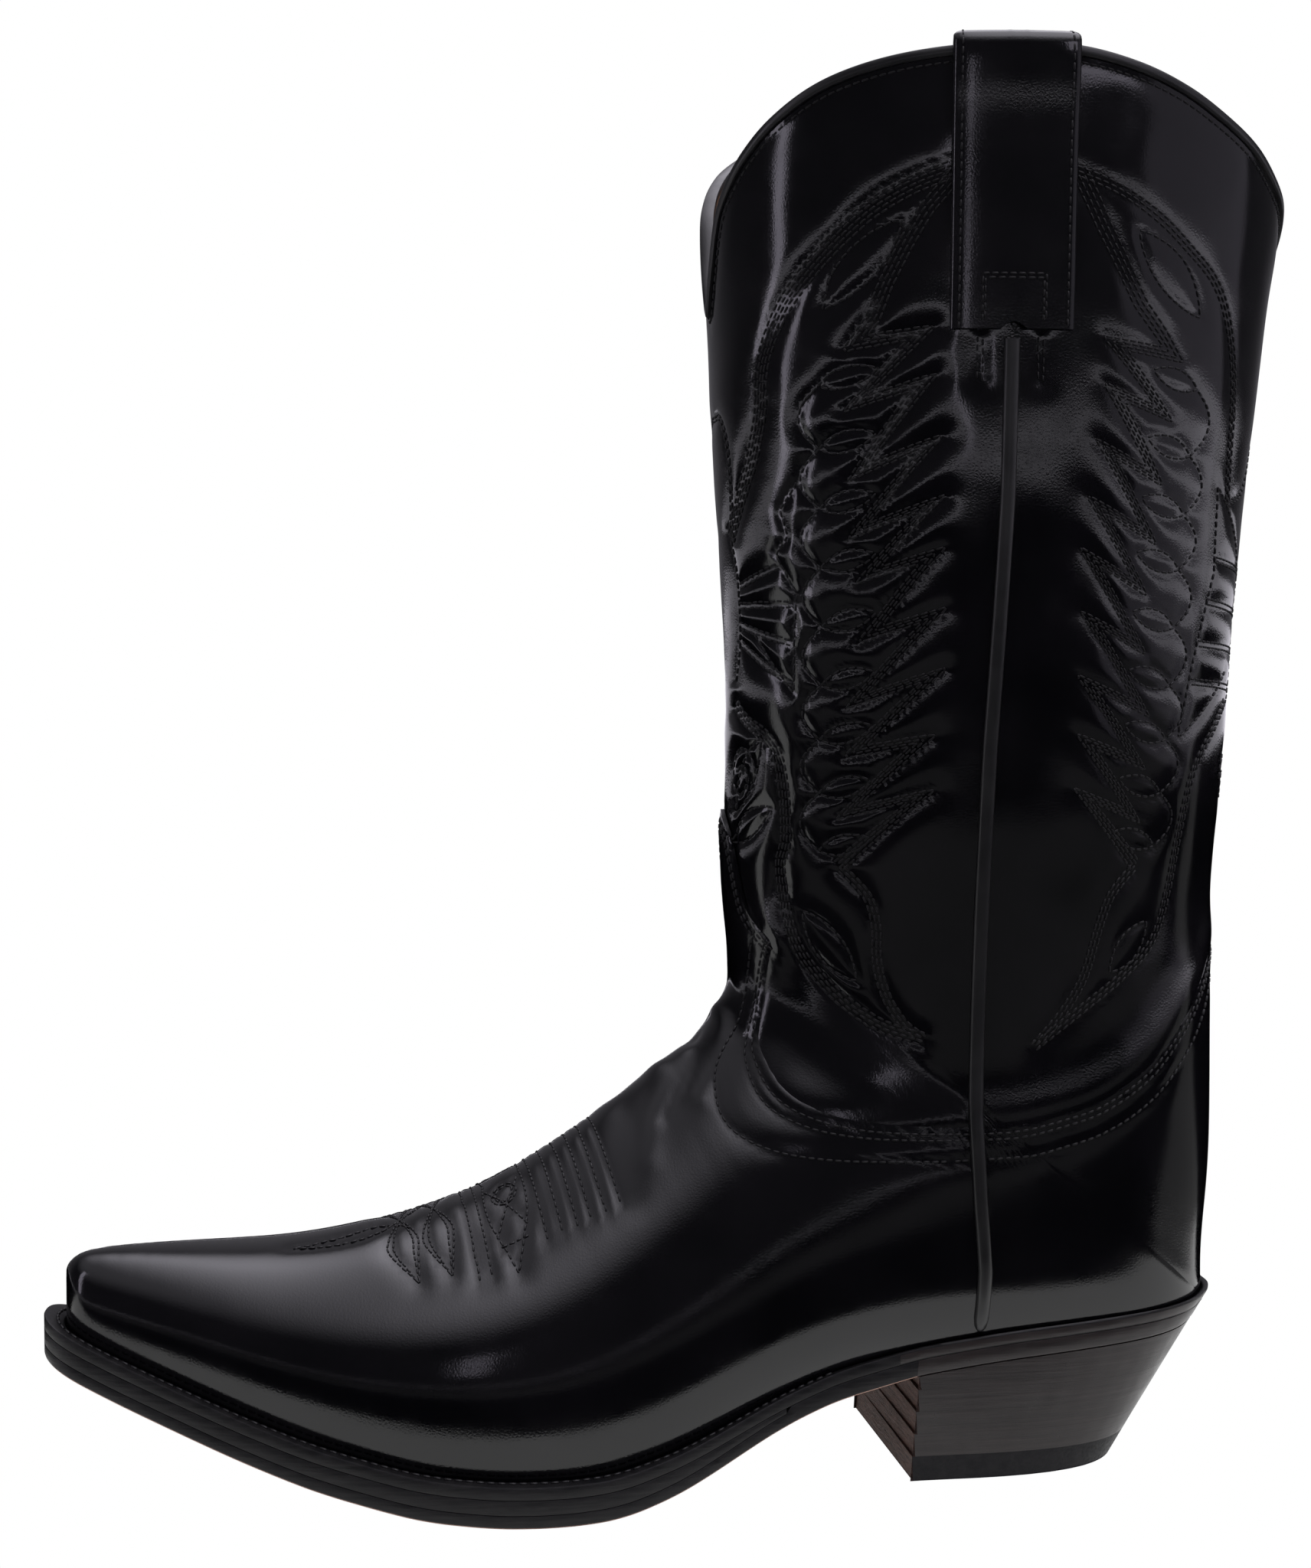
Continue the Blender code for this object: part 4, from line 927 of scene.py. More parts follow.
class Pen:
    """Draws rows of stitches on one panel of the leg; places are (t, z)."""

    def __init__(self, thread, group, side, dip):
        self.thread, self.group, self.side, self.dip = thread, group, side, dip

    def row(self, places):
        self.thread.row(self.group, places, self.side, 0.05, self.dip)

    def band(self, points, rows, smooth=True):
        """Parallel rows along a line; without smoothing its corners stay sharp."""
        for i in range(rows):
            self.row(beside(points, (i - (rows - 1) / 2) * ROW_GAP, smooth))

    def leaf(self, base, tip, width):
        """A leaf of one row."""
        scale = (LEG_GIRTH, 1)
        for sign in (-1, 1):
            edge = leaf_points(np.multiply(base, scale), np.multiply(tip, scale), width, sign)
            self.row(on_leg(smooth_through(edge, 0.8)))

    def vine(self, leaves):
        """Small leaves joined at their feet by a line of scallops."""
        for base, tip in leaves:
            self.leaf(base, tip, LEAF_WIDTH)
        outward = 1 if leaves[0][1][0] < leaves[0][0][0] else -1
        for (a, _), (b, _) in zip(leaves, leaves[1:]):
            a, b = np.array(a), np.array(b)
            bulges = [a + (b - a) * f + (outward * reach, 0) for f, reach in SCALLOP]
            self.row(drawn([a, *bulges, b], 0.8))

    def fan(self, root, edge, rays):
        """A fan of double rays between an arc near the centre line and an outer edge."""
        self.row(drawn(root, 0.8))
        self.row(drawn(edge, 0.8, smooth=False))
        for ray in rays:
            for off in (-0.7, 0.7):
                self.row(beside(ray, off, smooth=False))

    def scroll(self, centre, size, turns=1.4, mirror=1):
        """A plain spiral scroll."""
        a = np.linspace(0, turns * 2 * np.pi, 60)
        r = size * (1 - 0.75 * a / a[-1])
        across, up = mirror * r * np.cos(a) / LEG_GIRTH, r * np.sin(a)
        self.row(drawn(np.stack([centre[0] + across, centre[1] + up], 1), 0.8))


# ---------------------------------------------------------------- the stitched drawings

# Front panel of the leg, from the front to the seam: places are (t, z).
FRONT_ARCH = [(0.40, 338.5), (0.346, 334), (0.298, 328), (0.248, 319), (0.203, 310), (0.173, 302),
              (0.15, 292), (0.143, 280), (0.123, 269), (0.09, 259), (0.052, 249)]
FRONT_HOOK = [(0.05, 205), (0.085, 201), (0.153, 195), (0.178, 185), (0.185, 170), (0.173, 163),
              (0.183, 151), (0.206, 140), (0.248, 131), (0.288, 125), (0.326, 121), (0.376, 118)]
FRONT_HOOK_BACK = [(0.376, 118), (0.351, 122), (0.328, 130), (0.318, 139), (0.318, 148),
                   (0.306, 156), (0.27, 163)]
FRONT_ZIGZAG = [(0.395, 337), (0.363, 328), (0.343, 320), (0.321, 310), (0.308, 302), (0.286, 296),
                (0.363, 298), (0.288, 281), (0.368, 286), (0.292, 264), (0.378, 271), (0.291, 249),
                (0.381, 256), (0.303, 238), (0.383, 243), (0.306, 223), (0.386, 228), (0.290, 206),
                (0.389, 213), (0.291, 193), (0.378, 196), (0.281, 177), (0.381, 182), (0.268, 163)]
FRONT_LEAVES = [((0.240, z), (0.314, z + 3.5)) for z in (286, 270, 255, 240, 225, 210, 196, 182, 167)]
FRONT_TOP_LEAF = ((0.245, 305), (0.338, 326))
FRONT_LOW_LEAF = ((0.212, 151), (0.290, 133))
# Back panel, from the seam to the back.
BACK_ARCH = [(0.505, 338.5), (0.561, 334), (0.612, 328), (0.659, 321), (0.707, 314), (0.742, 305),
             (0.767, 293), (0.784, 276), (0.797, 258)]
BACK_HOOK = [(0.87, 206), (0.815, 198), (0.765, 188), (0.747, 172), (0.737, 157), (0.709, 143),
             (0.652, 134), (0.589, 126), (0.514, 116)]
BACK_HOOK_BACK = [(0.514, 116), (0.554, 124), (0.589, 134), (0.614, 148), (0.632, 156),
                  (0.667, 163)]
BACK_ZIGZAG = [(0.520, 337), (0.549, 325), (0.574, 316), (0.602, 306), (0.634, 299), (0.655, 294),
               (0.574, 296), (0.649, 279), (0.578, 284), (0.645, 263), (0.573, 270), (0.645, 248),
               (0.567, 256), (0.637, 235), (0.562, 243), (0.640, 220), (0.569, 227), (0.652, 204),
               (0.569, 211), (0.654, 190), (0.575, 196), (0.656, 176), (0.579, 182), (0.667, 163)]
BACK_LEAVES = [((0.697, z), (0.627, z + 4)) for z in (286, 269, 254, 240, 225, 210, 196, 182, 168)]
BACK_TOP_LEAF = ((0.690, 304), (0.592, 324))
BACK_LOW_LEAF = ((0.694, 148), (0.630, 135))


def front_panel(thread, side, name):
    pen = Pen(thread, "stitching_front_" + name, side, 1.0)
    pen.band(FRONT_ARCH, 5)
    pen.band(FRONT_HOOK, 4)
    pen.band(FRONT_HOOK_BACK, 3)
    pen.band(FRONT_ZIGZAG, 4, smooth=False)
    pen.vine(FRONT_LEAVES)
    pen.leaf(*FRONT_TOP_LEAF, 4.4)
    pen.leaf(*FRONT_LOW_LEAF, 4.2)
    pen.fan([(0.05, 249), (0.066, 240), (0.07, 230), (0.066, 220), (0.05, 211)],
            [(0.205, 262), (0.175, 255), (0.188, 248), (0.165, 244), (0.20, 234), (0.195, 220),
             (0.195, 208), (0.11, 224)],
            [((0.075, 236), (0.17, 241)), ((0.07, 231), (0.19, 231)), ((0.07, 226), (0.19, 221)),
             ((0.075, 221), (0.185, 211))])
    pen.band([(0.052, 249), (0.062, 262), (0.055, 275), (0.03, 281), (0.002, 281)], 2)
    pen.scroll((0.075, 186), 8.5)
    pen.leaf((0.06, 176), (0.13, 196), 4.0)
    pen.leaf((0.05, 168), (0.155, 178), 3.4)


def back_panel(thread, side, name):
    pen = Pen(thread, "stitching_back_" + name, side, 0.45)
    pen.band(BACK_ARCH, 3)
    pen.band(BACK_HOOK, 3)
    pen.band(BACK_HOOK_BACK, 3)
    pen.band(BACK_ZIGZAG, 4, smooth=False)
    pen.vine(BACK_LEAVES)
    pen.leaf(*BACK_TOP_LEAF, 4.4)
    pen.leaf(*BACK_LOW_LEAF, 3.6)
    pen.fan([(0.765, 262), (0.83, 252), (0.90, 238), (0.93, 226), (0.91, 209), (0.86, 203)],
            [(0.765, 262), (0.775, 240), (0.74, 215), (0.72, 196), (0.86, 214)],
            [((0.775, 243), (0.93, 240)), ((0.762, 232), (0.93, 229)), ((0.75, 221), (0.93, 219)),
             ((0.74, 211), (0.91, 209))])
    pen.scroll((0.915, 184), 8.0, mirror=-1)
    pen.band([(0.797, 258), (0.86, 262), (0.93, 276), (0.998, 281)], 2)


VAMP_SCALE = (19.0, 105.0)     # about how many millimetres k and t are on the vamp


def vamp_flower(thread):
    """The toe stitching, drawn across the ridge: places are (k, t), t below 0 on the inner side."""
    def row(points):
        places = smooth_through(np.asarray(points, float) * VAMP_SCALE, 0.8) / VAMP_SCALE
        thread.row("stitching_toe", places, OUTER, OVERLAY[1] + 0.05)

    row([(6.2, 0.045), (6.75, 0.026), (7.25, 0.010), (7.6, 0.030), (7.78, 0.075)])
    row([(6.2, 0.045), (6.75, 0.060), (7.25, 0.050), (7.6, 0.010), (7.95, -0.050)])
    for base, tip in ((7.62, 7.74), (8.08, 8.16)):
        for side in (1, -1):
            for spread in (0.19, 0.125):
                half = [(spread, 0.10), (spread * 0.9, 0.15)]
                row([(tip, -side * 0.235), *((base - k, -side * t) for k, t in half[::-1]), (base, 0.0),
                     *((base + k, side * t) for k, t in half), (tip, side * 0.235)])
    turn = np.linspace(0, 2 * np.pi, 25)
    for side in (1, -1):
        row([(8.78, 0.0), (8.74, side * 0.13), (8.98, side * 0.27)])
        row([(9.30, 0.0), (9.28, side * 0.14), (8.98, side * 0.27)])
        row([(8.80, side * 0.21), (9.20, side * 0.21)])
        row([(8.78, side * 0.04), (9.24, side * 0.19)])
        row([(9.26, side * 0.04), (8.80, side * 0.19)])
        for size in (1.0, 0.75):
            row([(9.02 + 0.17 * size * math.cos(a), side * (0.08 + 0.034 * size * math.sin(a)))
                 for a in turn])
    for k in (8.48, 8.64):
        row([(k, t) for t in np.linspace(-0.26, 0.26, 15)])
    for i in range(6):
        row([(9.42 + 0.2 * i, t) for t in np.linspace(-0.235 - 0.003 * i, 0.235 + 0.003 * i, 15)])


def edge_rows(thread):
    """The rows that follow the edges of the tongue, the vamp and the counter."""
    edges = ((TONGUE_EDGE, "vamp", (2.0, 3.6)), (VAMP_EDGE, "vamp", (2.0, 3.6, 9.0)),
             (COUNTER_EDGE, "counter", (2.0, 3.6, 9.0)))
    for side, name in SIDE_NAMES:
        for edge, part, insets in edges:
            for inset in insets:
                group = f"stitching_{part}_{name}"
                thread.row(group, beside(edge, -inset), side, OVERLAY[1] + 0.02, dip=0.5)


# ---------------------------------------------------------------- the leather pieces

def outlines():
    """The outline of each leather piece as places (k, t)."""
    rim = drawn(RIM, 1.2)
    seam_top, seam_foot = seam_place(SEAM_TOP_Z), seam_place(SEAM_FOOT_Z)
    seam_vamp = seam_place(VAMP_EDGE[-1][1])
    cut = int(np.argmin(np.abs(rim[:, 1] - seam_top[1])))
    rim_front, rim_back = rim[:cut], rim[cut + 1:]
    seam = [seam_top] + [seam_place(z) for z in np.arange(352, 100, -12.0)] + [seam_vamp]
    feather_k = float(np.interp(SEAM_FEATHER_X, section(NET_K[NET_K < HEEL_CORNER])[2],
                                NET_K[NET_K < HEEL_CORNER]))
    lower = [seam_vamp, seam_foot] + [seam_place(z) for z in (70, 57, 46)] + [(feather_k, 1.0)]
    vamp_top = np.concatenate([drawn(TONGUE_EDGE, 1.2)[:-1], drawn(VAMP_EDGE, 1.2)[:-1]])
    counter_top = drawn(COUNTER_EDGE, 1.2)[1:]
    foot, foot_back = drawn(SHAFT_FOOT, 2.0), drawn(SHAFT_FOOT_BACK, 2.0)
    seam_down = seam + [seam_foot]
    return {
        "vamp": np.concatenate([vamp_top, lower, [(0.0, 1.0), (0.0, 0.0)]]),
        "counter": np.concatenate([[seam_vamp], counter_top, [(HEEL_CORNER, 1.0)], lower[:0:-1]]),
        "shaft_front": np.concatenate([rim_front, seam_down, foot[::-1]]),
        "shaft_back": np.concatenate([seam_down[::-1], rim_back, foot_back[::-1]]),
        "lining_back": np.concatenate([lower[:0:-1], seam_down[::-1], rim_back, [(HEEL_CORNER, 1.0)]]),
        "rim": rim,
    }


# Soft folds over the instep: a line of places (t, z), its height and its width.
FOLD_HEIGHT = 0.6              # scales the heights
INSTEP_FOLDS = [
    ([(0.0, 121), (0.07, 118), (0.13, 110), (0.17, 101)], 1.1, 3.4),
    ([(0.0, 113), (0.06, 111), (0.12, 104), (0.16, 96)], -0.9, 3.0),
    ([(0.0, 105), (0.08, 103), (0.15, 95), (0.21, 86)], 0.7, 3.6),
    ([(0.05, 97), (0.12, 93), (0.19, 86), (0.25, 78)], -0.5, 4.0),
    ([(0.0, 131), (0.05, 127), (0.10, 118)], -0.7, 3.2),
]


def folds_relief(base):
    """Adds the instep's folds to a relief."""
    lines = []
    for points, height, width in INSTEP_FOLDS:
        places = drawn(points, 1.5)
        for side in (OUTER, INNER):
            lines.append((tree_of(surface(places[:, 0], places[:, 1], side)), height, width))

    def lift(points, places):
        out = base(points, places)
        for tree, height, width in lines:
            far = distances(tree, points)
            out += FOLD_HEIGHT * height * bell(far, width)
        return out

    return lift


def swell_relief(base):
    """Adds the leg's flare over the upper edge of the vamp and counter to a relief."""
    edge = np.concatenate([drawn(VAMP_EDGE, 1.5), drawn(COUNTER_EDGE, 1.5)])
    tree = tree_of(np.concatenate([surface(edge[:, 0], edge[:, 1], side) for side in (OUTER, INNER)]))

    def lift(points, places):
        far = distances(tree, points)
        return base(points, places) + FOOT_SWELL * bell(far, FOOT_SWELL_WIDTH)
    return lift


def waves_relief(base):
    """Adds the leg's faint unevenness to a relief."""
    def lift(points, places):
        broad = np.array([noise.noise(Vector(p) / 34) for p in points])
        fine = np.array([noise.noise(Vector(p) / 15 + Vector((7, 3, 1))) for p in points])
        calm = np.clip((points[:, 2] - 95) / 40, 0, 1)
        return base(points, places) + (WAVES[0] * broad + WAVES[1] * fine) * calm
    return lift


def leather_pieces(outline, thread, looks):
    """The vamp, the counter, the leg's two panels and the linings; returns the outer four."""
    lift = thread.relief()
    black, tan = looks["black"], looks["tan"]
    made = []
    for name, relief, node in (("vamp", folds_relief(lift), "vamp"), ("counter", lift, "counter_cover")):
        cover = Leather(outline[name], LEATHER_STEP).build(name + "_leather", OVERLAY, black, relief)
        made.append(settle(cover, "upper_leather", node))
    leg = waves_relief(swell_relief(lift))
    for name in ("shaft_front", "shaft_back"):
        shaft = Leather(outline[name], SHAFT_STEP).build(name + "_leather", BODY, black, leg)
        made.append(settle(shaft, "upper_leather", name))
    for name, source in (("lining_front", "shaft_front"), ("lining_back", "lining_back")):
        lining = Leather(outline[source], 4.0).build(name + "_leather", LINING, tan, rounding=0.1)
        settle(lining, "lining_leather", name)
    return made


def ring_sweep(rings, closed):
    """Points and faces of a bar whose cross-sections are the rings of points."""
    size = len(rings[0])
    points = np.concatenate(rings)
    faces = []
    for i in range(len(rings) if closed else len(rings) - 1):
        a, b = i * size, ((i + 1) % len(rings)) * size
        faces += [(a + j, a + (j + 1) % size, b + (j + 1) % size, b + j) for j in range(size)]
    if not closed:
        faces.append(tuple(reversed(range(size))))
        faces.append(tuple(range(len(points) - size, len(points))))
    return points, faces


def oriented(made):
    """Turns the piece's faces outward and welds its double points."""
    bm = bmesh.new()
    bm.from_mesh(made.data)
    bmesh.ops.remove_doubles(bm, verts=bm.verts, dist=1e-6)
    bmesh.ops.dissolve_degenerate(bm, edges=bm.edges, dist=1e-6)
    bmesh.ops.recalc_face_normals(bm, faces=bm.faces)
    bm.to_mesh(made.data)
    bm.free()
    return made


def rim_frame(rim):
    """Points, outward normals and upward directions round the rim."""
    k, t = rim.T
    points = np.concatenate([surface(k, t, OUTER), surface(k, t, INNER)[-2:0:-1]])
    normals = np.concatenate([normals_at(k, t, np.full(len(k), OUTER)),
                              normals_at(k, t, np.full(len(k), INNER))[-2:0:-1]])
    along = np.roll(points, -1, axis=0) - np.roll(points, 1, axis=0)
    up = np.cross(normals, unit(along))
    up *= np.sign(up[:, 2])[:, None]
    return points, normals, unit(up)


# Cross-section of the top binding: distance from the smooth surface, height over the rim.
BINDING_PROFILE = [
    (-0.6, -1.5), (0.4, -1.5), (0.75, -1.1), (0.8, -0.4), (0.75, 0.3), (0.5, 0.8), (-0.1, 1.05),
    (-2.3, 1.05), (-2.9, 0.85), (-3.1, 0.4), (-3.15, -0.1), (-3.0, -0.5), (-2.4, -0.7),
]
BINDING_STITCHES = 3.0         # how far below the rim its row is


def top_binding(rim, thread, look):
    """The folded strip over the rim, with its row of stitches."""
    points, normals, up = rim_frame(rim)
    rings = [[p + n * d + u * h for d, h in BINDING_PROFILE] for p, n, u in zip(points, normals, up)]
    made = make_mesh("top_binding_leather", *ring_sweep(rings, closed=True), [look])
    settle(oriented(made), "upper_leather", "top_binding")
    line = points - up * BINDING_STITCHES
    loop = np.concatenate([line, line[:1]])
    thread.line("stitching_rim", loop, np.concatenate([normals, normals[:1]]), 0.02, dip=0.4)


# Cross-section of the piping: share of its half width, height over the surface.
PIPING_PROFILE = [(-1, -0.3), (-0.98, 0.7), (-0.7, 1.35), (0, 1.65), (0.7, 1.35), (0.98, 0.7), (1, -0.3)]


def side_piping(name, side, look):
    """The rounded strip over the side seam."""
    xs, zs = np.array(SIDE_SEAM).T
    heights = np.concatenate([np.arange(PIPING_TOP_Z, 110, -3.5), np.arange(108, 41.5, -2.2), [41.0]])
    rings = []
    for z in heights:
        x = float(np.interp(z, zs, xs))
        swell = FOOT_SWELL * bell(z - VAMP_EDGE[-1][1], FOOT_SWELL_WIDTH)
        lift = max(np.interp(z, [92, 95, 98], [1.75, 1.75, 0.0]), swell)
        close = math.sqrt(max(0.05, 1 - max(0.0, (44.0 - z) / 3.4) ** 2))
        ring = []
        for shift, height in PIPING_PROFILE:
            k, t = locate(x + shift * PIPING_HALF_WIDTH * close, z)
            ring.append(surface(k, t, side) + normal_at(k, t, side) * (lift + height * close))
        rings.append(ring)
    made = make_mesh(name + "_leather", *ring_sweep(rings, closed=False), [look], sharp=60)
    settle(oriented(made), "upper_leather", name)


def strap_loop(share, side, count=100):
    """The strap's path over the rim at a share of its half width: its under and upper side."""
    x = STRAP_CENTRE + STRAP_HALF_WIDTH * share
    foot = STRAP_FOOT_Z + STRAP_NOTCH[0] * max(0.0, 1 - (share / STRAP_NOTCH[1]) ** 2)
    legs = [(foot, 0.8), (312, 0.8), (330, 0.8), (348, 1.0), (360, 1.9)]
    thick = STRAP_THICKNESS * (0.45 + 0.55 * (1 - abs(share) ** 24))
    under, over = [], []

    def place(z, d, thick_d, thick_z):
        """Adds a point at a height and a distance from the leg, and the one above it."""
        k, t = locate(x, min(z, RIM_Z))
        n = normal_at(k, t, side) * (1, 1, 0)
        n /= np.linalg.norm(n)
        base = surface(k, t, side)
        rise = np.array([0, 0, z - min(z, RIM_Z)])
        under.append(base + n * d + rise)
        over.append(base + n * (d + thick_d) + rise + np.array([0, 0, thick_z]))

    for z, d in legs:
        place(z, d, thick, 0)
    place(STRAP_TOP_Z + 0.8, 2.0, thick, 0.4)
    place(STRAP_TOP_Z + 1.9, 1.3, 0.9, thick - 0.1)
    place(STRAP_TOP_Z + 1.9, -4.4, -0.9, thick - 0.1)
    place(STRAP_TOP_Z + 0.8, -5.2, -thick, 0.4)
    for z, d in reversed(legs):
        place(z, -4.0 - 1.1 * max(0, d - 0.8), -thick, 0)
    lines = (smooth_through(under, 1.6), smooth_through(over, 1.6))
    at = np.linspace(0, 1, count)
    return [sample(at, np.linspace(0, 1, len(line)), line) for line in lines]


STRAP_SHARES = np.concatenate([
    [-1, -0.985, -0.95, -0.9], np.linspace(-0.8, -0.3, 5), np.linspace(-0.2, 0.2, 7),
    np.linspace(0.3, 0.8, 5), [0.9, 0.95, 0.985, 1],
])


def pull_strap(name, side, thread, look):
    """A doubled strap sewn outside, led over the rim and sewn inside."""
    loops = [strap_loop(share, side) for share in STRAP_SHARES]
    rings = [np.concatenate([low, high[::-1]]) for low, high in loops]
    made = make_mesh(name + "_leather", *ring_sweep(rings, closed=False), [look], sharp=50)
    settle(oriented(made), "upper_leather", name)
    group = "stitching_strap_" + dict(SIDE_NAMES)[side]
    strap_edge_rows(group, np.array([high for _, high in loops]), thread)
    strap_foot_rows(group, side, thread)
    return made


def strap_edge_rows(group, lines, thread):
    """The rows along both edges of the strap; lines are its upper side at each share."""
    def at_share(share):
        return np.stack([[np.interp(share, STRAP_SHARES, lines[:, i, c]) for c in range(3)]
                         for i in range(lines.shape[1])])

    outward = at_share(0.0)[10] * (0, 1, 0)
    outward = outward / np.linalg.norm(outward)
    for share in (-0.86, 0.86):
        line = at_share(share)
        ahead = np.gradient(line, axis=0)
        across = np.gradient(lines, axis=0)[len(STRAP_SHARES) // 2]
        normal = unit(np.cross(ahead, across))
        normal *= np.sign((normal[5] * outward).sum())
        thread.line(group, line, normal, 0.05, dip=0)


def strap_foot_rows(group, side, thread):
    """The double row that sews the strap's foot down, and the two tacks below it."""
    def along(x1, x2, z1, z2, count):
        xs = STRAP_CENTRE + np.linspace(x1, x2, count)
        return np.array([locate(x, z) for x, z in zip(xs, np.linspace(z1, z2, count))])

    top, low, half = 312.0, 300.5, 0.5 * STRAP_HALF_WIDTH
    corners = [(-half, low), (-half, top), (half, top), (half, low)]
    for (x1, z1), (x2, z2) in zip(corners, corners[1:]):
        for off in (0.0, 0.07):
            lid = top - off * 15
            places = along(x1 * (1 - off), x2 * (1 - off), min(z1, lid), min(z2, lid), 12)
            thread.row(group, places, side, 2.85, dip=0)
    for x in (-half, half):
        for off in (-0.6, 0.6):
            thread.row(group, along(x + off, x + off, 297, 286, 8), side, 0.05)


# ---------------------------------------------------------------- sole and heel

# Sections at which the upper's outline is taken, closer at the toe and the heel.
PLAN_K = np.concatenate([np.linspace(0, 2, 7), np.linspace(2.4, 17, 42),
                         np.linspace(17.2, HEEL_CORNER + 1.0, 28)])


def plan_line(height, side):
    """The upper's outline at a height above its lower edge: (x, y) from the toe to the back."""
    line = []
    for k in PLAN_K:
        ax, az, bx, bz, _, _, _, _, middle, _, below = (float(v) for v in section(k))
        if bz > seat_z(bx) + height + 0.01 and k > HEEL_CORNER:
            break
        feather, widest = (float(v) for v in half_widths(k, side))
        s = 1.0
        for _ in range(12):
            x = ax + s * (bx - ax)
            s = min(1.0, (az - float(seat_z(x)) - height) / (az - bz))
        r = max(0.0, (s - middle) / (1 - middle))
        cut = 1 - (feather / widest) ** below
        line.append((ax + s * (bx - ax), widest * max(0.0, 1 - cut * r ** below) ** (1 / below)))
    line[0] = (line[0][0], 0.0)
    if line[-1][1] < 0.5:
        line[-1] = (line[-1][0], 0.0)
    else:
        line.append((line[-1][0] + 0.05 * line[-1][1], 0.0))
    return np.array(line)


def offset_line(line, distance):
    """Moves the half outline outward in plan; distance may differ along it."""
    before, after = line[1] * (1, -1), line[-2] * (1, -1)
    padded = np.concatenate([[before], line, [after]])
    along = unit(padded[2:] - padded[:-2])
    out = line + np.stack([-along[:, 1], along[:, 0]], 1) * np.reshape(distance, (-1, 1))
    out[:, 1] = np.maximum(out[:, 1], 0)
    return out


def sole_outline(side):
    """The outline of the welt, midsole and outsole: half of it, from toe to heel back."""
    crease = plan_line(WELT_HEIGHT, side)
    margin = np.interp(crease[:, 0], *np.array(SOLE_MARGIN).T)
    return offset_line(crease, OVERLAY[1] + margin)


SHIFT_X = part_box("outsole")[0].x / MM - float(sole_outline(OUTER)[0][0])
SOLE_ROWS = 260
WELT_GAP = 0.6                 # between the upper's foot and the welt's inner edge
HEEL_BACK = float(sole_outline(OUTER)[-1][0])


def fine_pair(line, other):
    """Two matching half outlines, smoothed and sampled at the same many rows."""
    run = running_length(line)
    both = np.concatenate([line, other], axis=1)
    mirror_low, mirror_high = both[3:0:-1] * (1, -1, 1, -1), both[-2:-5:-1] * (1, -1, 1, -1)
    run_low, run_high = -run[3:0:-1], 2 * run[-1] - run[-2:-5:-1]
    at = np.linspace(0, run[-1], SOLE_ROWS)
    dense = np.linspace(run_low[0], run_high[-1], 1400)
    run = np.concatenate([run_low, run, run_high])
    both = np.concatenate([mirror_low, both, mirror_high])
    pace = dense[1] - dense[0]
    reach = int(4 / pace)
    kernel = np.exp(-0.5 * (np.arange(-reach, reach + 1) * pace / 1.3) ** 2)
    rounded = [np.convolve(column, kernel / kernel.sum(), "same")
               for column in sample(dense, run, both).T]
    out = sample(at, dense, np.array(rounded).T)
    out[[0, -1], 1] = 0
    out[[0, -1], 3] = 0
    return out[:, :2], out[:, 2:]


def sole_lines(side):
    """Fine half outlines of the sole's edge and of the upper's foot."""
    wall = offset_line(plan_line(WELT_HEIGHT, side), OVERLAY[1] + WELT_GAP)
    return fine_pair(sole_outline(side), wall)


def in_plan(line, other, inset):
    """The line moved towards the other one by inset."""
    way = other - line
    length = np.maximum(np.linalg.norm(way, axis=1)[:, None], 1e-6)
    return line + way / length * np.minimum(inset, length * 0.45)


def heel_taper(points):
    """The heel, and the sole's edge over it, drawn in towards the floor."""
    x, y, z = np.asarray(points, float).T
    reach = np.clip((x - BREAST_X + 15) / 15, 0, 1)
    f = 1 - (1 - np.clip(z / HEEL_TOP_Z, 0, 1)) * reach
    shortening = (HEEL_FLOOR_BACK - HEEL_FLOOR_BREAST) / (HEEL_BACK - BREAST_X)
    foot_x = HEEL_FLOOR_BREAST + (x - BREAST_X) * shortening
    narrowed = y * (HEEL_FLOOR_NARROWING + (1 - HEEL_FLOOR_NARROWING) * f)
    return np.stack([foot_x + (x - foot_x) * f, narrowed, z], 1)


# Cross-section of the welt and the rand: the line it is on, the inset from that line, the face
# it is near and its height over that face.
STRIP_PROFILE = [
    ("wall", 0.0, "foot", 0.0), ("wall", 0.0, "top", -0.3), ("wall", 0.35, "top", 0.0),
    ("rim", 0.7, "top", 0.0), ("rim", 0.25, "top", -0.18), ("rim", 0.0, "top", -0.7),
    ("rim", 0.0, "foot", 0.35), ("rim", 0.1, "foot", 0.05),
]


def strip_ring(rim, wall, i, side):
    """The strip's cross-section at one row of the outline."""
    ring = []
    for where, inset, base, lift in STRIP_PROFILE:
        line, other = (rim, wall) if where == "rim" else (wall, rim)
        x, y = in_plan(line[i:i + 1], other[i:i + 1], inset)[0]
        point = (x, side * y, float(seat_z(x)) + (WELT_HEIGHT + lift if base == "top" else lift))
        ring.append(heel_taper([point])[0] if where == "rim" else point)
    return ring


def edge_strip(name, node, span, looks, face_look):
    """The welt in front, or the rand round the heel, with rounded edges."""
    is_welt = span[0] < WELT_END
    rings = []
    for side in (OUTER, INNER):
        rim, wall = sole_lines(side)
        rows = np.flatnonzero((rim[:, 0] >= span[0]) & (rim[:, 0] <= span[1]))
        if not is_welt:
            rows = np.concatenate([[rows[0] - 1], rows])
        half = [strip_ring(rim, wall, i, side) for i in rows]
        order = half[::-1] if is_welt else half
        rings = order if side == OUTER else rings + order[::-1][1:]
    points, faces = ring_sweep(rings, closed=False)
    size = len(STRIP_PROFILE)
    sides = (len(rings) - 1) * size
    face_looks = [int(n < sides and n % size == face_look) for n in range(len(faces))]
    return settle(oriented(make_mesh(name, points, faces, looks, face_looks)), "sole_leather", node)


